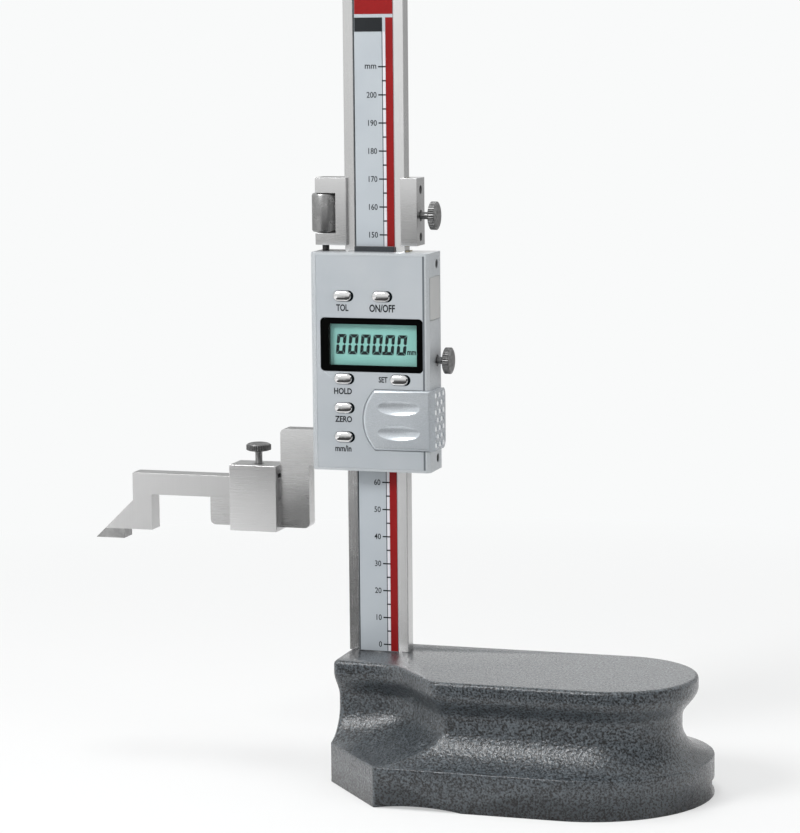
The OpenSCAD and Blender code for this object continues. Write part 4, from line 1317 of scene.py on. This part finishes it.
LABELS = (
    Label("TOL", "key_tolerance", "key_tolerance", across=0.0, up=-4.25, height=2.5, squeeze=0.72),
    Label("ON/OFF", "key_power", "key_power", across=0.4, up=-4.25, height=2.8, squeeze=0.72),
    Label("HOLD", "key_tolerance", "key_hold", across=-0.1, up=-4.5, height=2.3, squeeze=0.82),
    Label("ZERO", "key_tolerance", "key_zero", across=0.0, up=-4.1, height=2.3, squeeze=0.82),
    Label("mm/in", "key_tolerance", "key_unit", across=-0.2, up=-4.2, height=2.3, squeeze=0.82),
    Label("SET", "key_set", "key_set", across=-4.3, up=0.0, height=2.15, squeeze=0.76, anchor=Anchor.RIGHT),
)


@dataclass
class Slider:
    """The slider's frame with its jaw, the cover, the panel and the wipers. Sizes are in millimetres."""

    shop: Workshop
    # Width of the painted shadow strip along the panel's right edge
    shadow_strip: float = 0.7
    bold: float = 0.03
    clearance: float = 0.045

    def build(self) -> None:
        """Builds the slider's pieces."""
        soften, dress = self.shop.soften, self.shop.dress
        soften("slider_frame", "slider_body", "frame_steel", "slider", width=0.18, shortest=2.0)
        soften("front_cover", "display_cover", "cover_plastic", "slider", width=0.25, shortest=6.0)
        panel = softened("face_panel", "printed_panel", width=0.0)
        self.close_gap(panel)
        self.shop.deliver(panel, "panel_print", "slider", "face_panel")
        soften("wiper_top", "upper_wiper", "felt", "slider", width=0.25)
        soften("wiper_bottom", "lower_wiper", "felt", "slider", width=0.15)
        dress("brass", "slider_gib", "slider_lock_pad")
        # Painted shade on the set screws: dark for the shadow in their sockets
        dress("black_steel", "slider_set_screws", "cover_screws", "fine_stud")
        ThumbScrew(self.shop, "slider_lock_screw", "slider_screw", Axis.X, reach=3.1).build()
        self.prints()

    def prints(self) -> None:
        """Prints the keys' labels, and paints the shadow of the step along the panel's right edge as a dark
        strip.
        """
        low, high = box_mm("face_panel")
        front = low.y - INK
        words = [Word(label.text, middle_mm(label.column).x + label.across, middle_mm(label.row).z + label.up,
                      label.height, label.anchor, label.squeeze, self.bold) for label in LABELS]
        self.shop.deliver(printed("key_labels", words, front), "ink_dark", "slider")
        # Painted shadow: a dark strip where the step to the cover's rim is in shade
        shadow_strip = bmesh.new()
        bar(shadow_strip, (high.x - self.shadow_strip, high.x), (low.z, high.z), front)
        self.shop.deliver(new_piece("panel_painted_shadow", shadow_strip), "painted_step_shade", "slider")

    def close_gap(self, panel: bpy.types.Object) -> None:
        """Widens the panel by its clearance, so that it meets the cover's edge as the printed sheet does.

        Args:
            panel: The panel's piece.
        """
        low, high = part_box("face_panel")
        for v in panel.data.vertices:
            for axis in (Axis.X.value, Axis.Z.value):
                if abs(v.co[axis] - low[axis]) < NEAR:
                    v.co[axis] -= self.clearance * MM
                if abs(v.co[axis] - high[axis]) < NEAR:
                    v.co[axis] += self.clearance * MM


@dataclass
class Display:
    """The bezel, its window and the digits behind it. Sizes are in millimetres."""

    shop: Workshop
    digits: str = "0000.00"
    left: float = 14.7
    foot: float = 3.7
    cell: float = 4.58
    wide: float = 3.55
    high: float = 7.3
    stroke: float = 1.22
    gap: float = 0.04
    mitre: Pair = (0.1, 0.4)
    tips: Pair = (0.55, 0.35)
    slant: float = 0.1
    dot_gap: float = 0.35
    unit_place: Pair = (1.2, 1.0)
    unit_height: float = 1.5
    unit_squeeze: float = 0.8
    unit_bold: float = 0.04

    def build(self) -> None:
        """Builds the display's pieces."""
        deliver, soften = self.shop.deliver, self.shop.soften
        soften("lcd_bezel", "bezel_frame", "bezel_black", "slider", width=0.3, shortest=2.0)
        soften("lcd_window", "bezel_window", "clear_window", "slider", width=0.05)
        soften("lcd_module", "liquid_display", "lcd_glass", "slider", width=0.05)
        self.shop.dress("zebra_rubber", "lcd_connector")
        glass = box_mm("lcd_module")[0].y - INK
        middle = middle_mm("lcd_window")
        x, base = middle.x - self.left, middle.z - self.foot
        number = bmesh.new()
        for sign in self.digits:
            if sign == ".":
                dot = x - self.cell + self.wide + self.dot_gap
                bar(number, (dot, dot + self.stroke), (base, base + self.stroke), glass)
            else:
                self.nought(number, x, base, glass)
                x += self.cell
        deliver(new_piece("display_digits", number), "ink_segment", "slider")
        unit = Word("mm", x + self.unit_place[0], base + self.unit_place[1], self.unit_height,
                    squeeze=self.unit_squeeze, bold=self.unit_bold)
        deliver(printed("display_unit", [unit], glass), "ink_segment", "slider")

    def nought(self, bm: bmesh.types.BMesh, x: float, base: float, front: float) -> None:
        """Adds a slanted nought of six segments with mitred ends.

        Args:
            bm: The shape that it is added to.
            x: Its left edge in millimetres.
            base: Its lower edge.
            front: Y of its front.
        """
        w, h, s = self.wide, self.high, self.stroke
        outer, inner = self.gap + s * self.mitre[0], s + self.gap * self.mitre[1]
        level = [(outer, 0), (w - outer, 0), (w - inner, s), (inner, s)]
        side = [(0, outer), (s, inner), (s, h / 2 - s * self.tips[0]), (s / 2, h / 2 - self.gap),
                (0, h / 2 - s * self.tips[1])]
        shapes = [level, [(px, h - pz) for px, pz in level]]
        for mirror_x in (False, True):
            for mirror_z in (False, True):
                shapes.append([(w - px if mirror_x else px, h - pz if mirror_z else pz) for px, pz in side])
        for shape in shapes:
            plate(bm, [(x + px + pz * self.slant, base + pz) for px, pz in shape], front)


@dataclass
class Keys:
    """The six domed oval keys, and the painted shadows round their openings. Sizes are in millimetres."""

    shop: Workshop
    names: tuple[str, ...] = ("key_tolerance", "key_power", "key_hold", "key_set", "key_zero", "key_unit")
    dome: float = 0.8
    dome_share: float = 0.98
    flange: float = 0.3
    flange_thick: float = 0.55
    steps: int = 9
    slit: float = 0.04
    # Width and rightward shift of the painted shadow round each opening, in millimetres
    shade: float = 0.4

    def build(self) -> None:
        """Builds each key in place of its CAD node, and then the painted shadows round all the openings."""
        for name in self.names:
            self.shop.deliver(self.key(name), "key_chrome", name, name)
        painted_shadows, front = bmesh.new(), box_mm("face_panel")[0].y
        for name in self.names:
            self.painted_shadow(painted_shadows, name, front)
        # Painted shadow: a dark ring in the gap round each key, where shade falls
        self.shop.deliver(new_piece("key_painted_shadows", painted_shadows), "ink_dark", "slider", finish="ink_segment")

    def cap_size(self, node: str) -> Pair:
        """Returns the width and height of a key's cap without its flange."""
        low, high = box_mm(node)
        return high.x - low.x - 2 * self.flange, high.z - low.z - 2 * self.flange

    def loops(self, bm: bmesh.types.BMesh, node: str,
              rings: Iterable[tuple[Sequence[Pair], float]]) -> list[list[bmesh.types.BMVert]]:
        """Adds closed loops of points round a key's middle.

        Args:
            bm: The shape that they are added to.
            node: The key's CAD node.
            rings: Outline in X and Z, and Y, of each loop.

        Returns:
            The points of each loop.
        """
        middle = middle_mm(node)
        return [[bm.verts.new(Vector((middle.x + x, y, middle.z + z)) * MM) for x, z in outline]
                for outline, y in rings]

    def painted_shadow(self, bm: bmesh.types.BMesh, node: str, front: float) -> None:
        """Adds a painted shadow round a key's opening: a dark ring, widest on the right, where the gap is in
        shade.

        Args:
            bm: The shape that it is added to.
            node: The key's CAD node.
            front: Y of the panel's front.
        """
        wide, tall = self.cap_size(node)
        inner = self.oval(wide + 2 * self.slit, tall + 2 * self.slit)
        outer = [(x + self.shade, z) for x, z in self.oval(wide + 2 * (self.shade + 2 * self.slit),
                                                           tall + 6 * self.slit)]
        ahead = front - INK
        loops = self.loops(bm, node, ((inner, front), (inner, ahead), (outer, ahead), (outer, front)))
        bmesh.ops.recalc_face_normals(bm, faces=bridge(bm, loops + loops[:1]))

    def key(self, node: str) -> bpy.types.Object:
        """Builds one key: a flange, an upright edge and a dome.

        Args:
            node: The key's CAD node.

        Returns:
            The piece.
        """
        low, high = box_mm(node)
        wide, tall = self.cap_size(node)
        shoulder, ledge = low.y + self.dome, high.y - self.flange_thick
        rings = [(self.flange, high.y), (self.flange, ledge), (0.0, ledge), (0.0, shoulder)]
        for i in range(1, self.steps + 1):
            a = math.pi / 2 * i / self.steps
            shrink = tall / 2 * (1 - math.cos(a)) * self.dome_share
            rings.append((-shrink, shoulder - self.dome * math.sin(a)))
        bm = bmesh.new()
        loops = self.loops(bm, node, [(self.oval(wide + 2 * grow, tall + 2 * grow), y) for grow, y in rings])
        bridge(bm, loops)
        bm.faces.new(loops[0])
        bm.faces.new(reversed(loops[-1]))
        bmesh.ops.recalc_face_normals(bm, faces=bm.faces)
        return new_piece(node + "_cap", bm, sharp=50.0)

    @staticmethod
    def oval(wide: float, tall: float, steps: int = 14) -> list[Pair]:
        """Makes the outline of a flat oval with round ends.

        Args:
            wide: Its width in millimetres.
            tall: Its height.
            steps: Steps round each end.

        Returns:
            Its points in X and Z, one way round.
        """
        r, half = tall / 2, (wide - tall) / 2
        right = [(half + r * math.cos(a), r * math.sin(a)) for a in
                 (math.pi * (i / steps - 0.5) for i in range(steps + 1))]
        return right + [(-x, -z) for x, z in right]


@dataclass
class PowerAndPort:
    """The battery cover with its grip, the cell, its contacts and the data port. Sizes are in millimetres."""

    shop: Workshop
    rounding: float = 1.2
    rounding_steps: int = 5
    rows: int = 7
    columns: int = 5
    pitch: Pair = (3.0, 2.4)
    stud: float = 0.95
    stud_out: float = 0.35
    stud_sunk: float = 0.3
    # Width of the painted shadow strip in front of the port's cover
    shadow_strip: float = 0.3

    def build(self) -> None:
        """Builds the pieces that open, and dresses what they hide."""
        deliver, dress = self.shop.deliver, self.shop.dress
        deliver(rounded_front("battery_cover", "battery_lid_shell", self.rounding, self.rounding_steps),
                "cover_plastic", "battery_lid", "battery_cover", finish="lid_plastic")
        middle = middle_mm("battery_cover")
        middle.x = box_mm("battery_cover")[1].x - self.stud_sunk
        rule = stud_field(self.rows, self.columns, self.pitch, self.stud, self.stud_out, tuple(middle))
        # The studs take a paler copy of the lid's plastic: a painted highlight
        studs = rule.make("battery_lid_studs", self.shop.materials["stud_highlit_plastic"])
        deliver(studs, "cover_plastic", "battery_lid", finish="stud_highlit_plastic")
        self.shop.soften("port_cover", "port_lid_plate", "port_plastic", "port_lid", width=0.2)
        # Painted shadow: a dark strip in the gap before the port's cover
        deliver(self.port_painted_shadow(), "ink_dark", "slider")
        dress("contact_gold", "port_contacts", "cell_contact_front", "cell_contact_back")
        dress("cell_nickel", "coin_cell")
        dress("board_green", "circuit_board", "sensor_plate")
        dress("switch_dome", "key_switches")

    def port_painted_shadow(self) -> bpy.types.Object:
        """Builds a dark strip along the front edge of the port's cover: a painted shadow of the gap there.

        Returns:
            The piece.
        """
        low, high = box_mm("port_cover")
        side = box_mm("front_cover")[1].x + INK
        bm = bmesh.new()
        bmesh.ops.create_cube(bm, size=1.0)
        size = Vector((2 * self.shadow_strip, self.shadow_strip, high.z - low.z))
        place = Vector((side - self.shadow_strip, low.y - self.shadow_strip / 2, (low.z + high.z) / 2))
        bmesh.ops.transform(bm, matrix=Matrix.Translation(place * MM) @ Matrix.Diagonal((*(size * MM), 1.0)),
                            verts=bm.verts)
        return new_piece("port_painted_shadow", bm)


@dataclass
class ClampAndScriber:
    """The clamp box on the jaw, its screw, the scriber and its hard edge."""

    shop: Workshop

    def build(self) -> None:
        """Builds the clamp's and the scriber's pieces."""
        soften = self.shop.soften
        # The clamp takes a paler copy of the frame's steel: painted light
        soften("clamp_box", "clamp_block", "frame_steel", "clamp", width=0.14, shortest=1.0,
               finish="clamp_lit_steel")
        self.shop.dress("brass", "clamp_pad")
        ThumbScrew(self.shop, "clamp_screw", "clamp_screw", Axis.Z, reach=5.1, dome=0.6).build()
        soften("scriber_bar", "scriber_arm", "scriber_steel", "scriber", width=0.06, shortest=1.0)
        soften("scriber_tip", "scriber_edge", "carbide", "scriber", width=0.05, shortest=1.0)


@dataclass(frozen=True)
class Card:
    """A flat card that only shows in reflections: darker below, white at its top.

    It runs from one lower corner to the other and rises from there. It turns white between two heights.
    All lengths are in metres, and a level of 1 is white.
    """

    name: str
    start: Triple
    end: Triple
    rise: Triple
    level: float
    fade: Pair

    def build(self) -> None:
        """Makes the card."""
        bm = bmesh.new()
        start, end, rise = Vector(self.start), Vector(self.end), Vector(self.rise)
        bm.faces.new([bm.verts.new(corner) for corner in (start, end, end + rise, start + rise)])
        sheet = linked(self.name, meshed(self.name, bm))
        graph = Graph(self.name)
        strength = graph.between(graph.along(Axis.Z), self.fade, (self.level, 1.0))
        sheet.data.materials.append(graph.end(graph.glow((1.0, 1.0, 1.0), strength)))
        sheet.visible_camera = sheet.visible_diffuse = sheet.visible_shadow = False
        sheet.visible_transmission = sheet.visible_volume_scatter = False


@dataclass(frozen=True)
class Lamp:
    """A soft lamp that faces the object's middle. Lengths are in metres, and its power is in watts.

    Where it doesn't shine, it gives light but no highlight.
    """

    name: str
    place: Triple
    size: Pair
    power: float
    shines: bool = True
    aim: Triple = (0.0, 0.0, 0.14)

    def build(self) -> None:
        """Makes the lamp."""
        light = bpy.data.lights.new(self.name, "AREA")
        light.shape = "RECTANGLE"
        light.size, light.size_y = self.size
        light.energy = self.power
        holder = linked(self.name, light)
        holder.location = self.place
        holder.visible_glossy = self.shines
        holder.rotation_euler = (Vector(self.aim) - Vector(self.place)).to_track_quat("-Z", "Y").to_euler()


CARDS_AND_LAMPS = (
    Card("front_card", (-0.2, -0.55, 0.0), (0.4, -0.55, 0.0), (0, 0, 0.45), level=0.08, fade=(0.0, 0.24)),
    Card("table_card", (-0.2, -0.55, 0.001), (0.4, -0.55, 0.001), (0, 0.42, 0), level=0.08, fade=(0.1, 0.2)),
    Card("right_card", (0.33, -0.62, 0.0), (0.67, -0.22, 0.0), (0, 0, 0.5), level=0.03, fade=(0.4, 0.5)),
    Card("rear_card", (-0.6, 0.8, 0.2), (-0.26, 0.8, 0.2), (0, 0, 0.24), level=0.18, fade=(0.43, 0.44)),
    Card("side_card", (0.67, -0.22, 0.0), (0.72, 0.12, 0.0), (0, 0, 0.5), level=0.04, fade=(0.4, 0.5)),
    Card("back_card", (0.44, 0.66, 0.0), (0.05, 0.8, 0.0), (0, 0, 0.4), level=0.45, fade=(0.3, 0.4)),
    Lamp("key", place=(-0.75, -1.1, 1.15), size=(0.55, 0.55), power=20.0),
    Lamp("top", place=(-0.05, -0.05, 1.35), size=(0.45, 0.45), power=8.5, shines=False),
    Lamp("right", place=(1.3, -0.5, 0.55), size=(0.5, 0.9), power=5.0),
)


@dataclass
class Studio:
    """A pale floor, soft lamps, a white surround and the camera.

    The camera's angles are in degrees, its lens and stand point in millimetres, and the floor in metres.
    """

    azimuth: float = 17.188
    pitch: float = 7.716
    roll: float = -0.52
    lens: float = 125.84
    sensor: float = 36.0
    stand_point: Triple = (317.13, -999.62, 273.32)
    floor_radius: float = 3.0
    floor_drop: float = 0.00005
    floor_tone: Colour = (0.75, 0.75, 0.75)
    floor_fade: Pair = (0.2, 0.55)
    floor_white: Pair = (0.5, 1.0)
    surround: float = 0.42
    backdrop: Colour = tone(249, 250, 250)

    def build(self) -> None:
        """Builds the floor, the surround, the cards, the lamps and the camera."""
        self.floor()
        self.sky()
        for thing in CARDS_AND_LAMPS:
            thing.build()
        self.camera()

    def floor(self) -> None:
        """Makes the floor: pale to the object, white to the camera, with the object's shadow near it."""
        bm = bmesh.new()
        bmesh.ops.create_circle(bm, cap_ends=True, segments=96, radius=self.floor_radius)
        disc = linked("floor", meshed("floor", bm))
        disc.location.z = -self.floor_drop
        graph = Graph("floor")
        pale = graph.node("ShaderNodeBsdfDiffuse", {"Color": (*self.floor_tone, 1)}).outputs[0]
        far = graph.node("ShaderNodeVectorMath", {0: graph.place}, operation="LENGTH").outputs["Value"]
        share = graph.between(far, self.floor_fade, self.floor_white)
        seen = graph.math("MULTIPLY", graph.node("ShaderNodeLightPath").outputs["Is Camera Ray"], share)
        mixed = graph.node("ShaderNodeMixShader", {0: seen, 1: pale, 2: graph.glow(self.backdrop)})
        disc.data.materials.append(graph.end(mixed.outputs[0]))

    def sky(self) -> None:
        """Makes the surround: white to the camera, in metal and through glass, and softer to the rest."""
        world = bpy.data.worlds.new("surround")
        bpy.context.scene.world = world
        world.use_nodes = True
        nodes = Nodes(world.node_tree)
        nodes.tree.nodes.clear()
        path = nodes.node("ShaderNodeLightPath").outputs
        plain = nodes.node("ShaderNodeBackground", {"Color": (1, 1, 1, 1), "Strength": self.surround})
        white = nodes.node("ShaderNodeBackground", {"Color": (*self.backdrop, 1)})
        through = nodes.math("MAXIMUM", path["Is Glossy Ray"], path["Is Transmission Ray"])
        seen = nodes.math("MAXIMUM", path["Is Camera Ray"], through)
        mixed = nodes.node("ShaderNodeMixShader", {0: seen, 1: plain.outputs[0], 2: white.outputs[0]})
        nodes.node("ShaderNodeOutputWorld", {"Surface": mixed.outputs[0]})

    def camera(self) -> None:
        """Makes the camera at the photograph's viewing angle."""
        turn, tilt, roll = (math.radians(a) for a in (self.azimuth, self.pitch, self.roll))
        ahead = Vector((-math.sin(turn) * math.cos(tilt), math.cos(turn) * math.cos(tilt), -math.sin(tilt)))
        right = Vector((math.cos(turn), math.sin(turn), 0.0))
        up = right.cross(ahead)
        side = right * math.cos(roll) + up * math.sin(roll)
        top = up * math.cos(roll) - right * math.sin(roll)
        data = bpy.data.cameras.new("camera")
        data.lens = self.lens
        data.sensor_width = self.sensor
        data.clip_start, data.clip_end = 0.05, 50.0
        holder = linked("camera", data)
        rows = [[side[i], top[i], -ahead[i]] for i in range(3)]
        holder.matrix_world = Matrix.Translation(Vector(self.stand_point) * MM) @ Matrix(rows).to_4x4()
        bpy.context.scene.camera = holder


def main() -> None:
    """Builds the object's sub-assemblies and the studio in order."""
    logging.basicConfig(level=logging.INFO, format="%(message)s")
    shop = Workshop(FINISHES)
    for part in (Stand(shop), FineAdjustment(shop), Slider(shop), Display(shop), Keys(shop),
                 PowerAndPort(shop), ClampAndScriber(shop), Studio()):
        log.info("building %s", type(part).__name__)
        part.build()
    bpy.context.scene.view_settings.view_transform = "Standard"


if __name__ == "__main__":
    main()
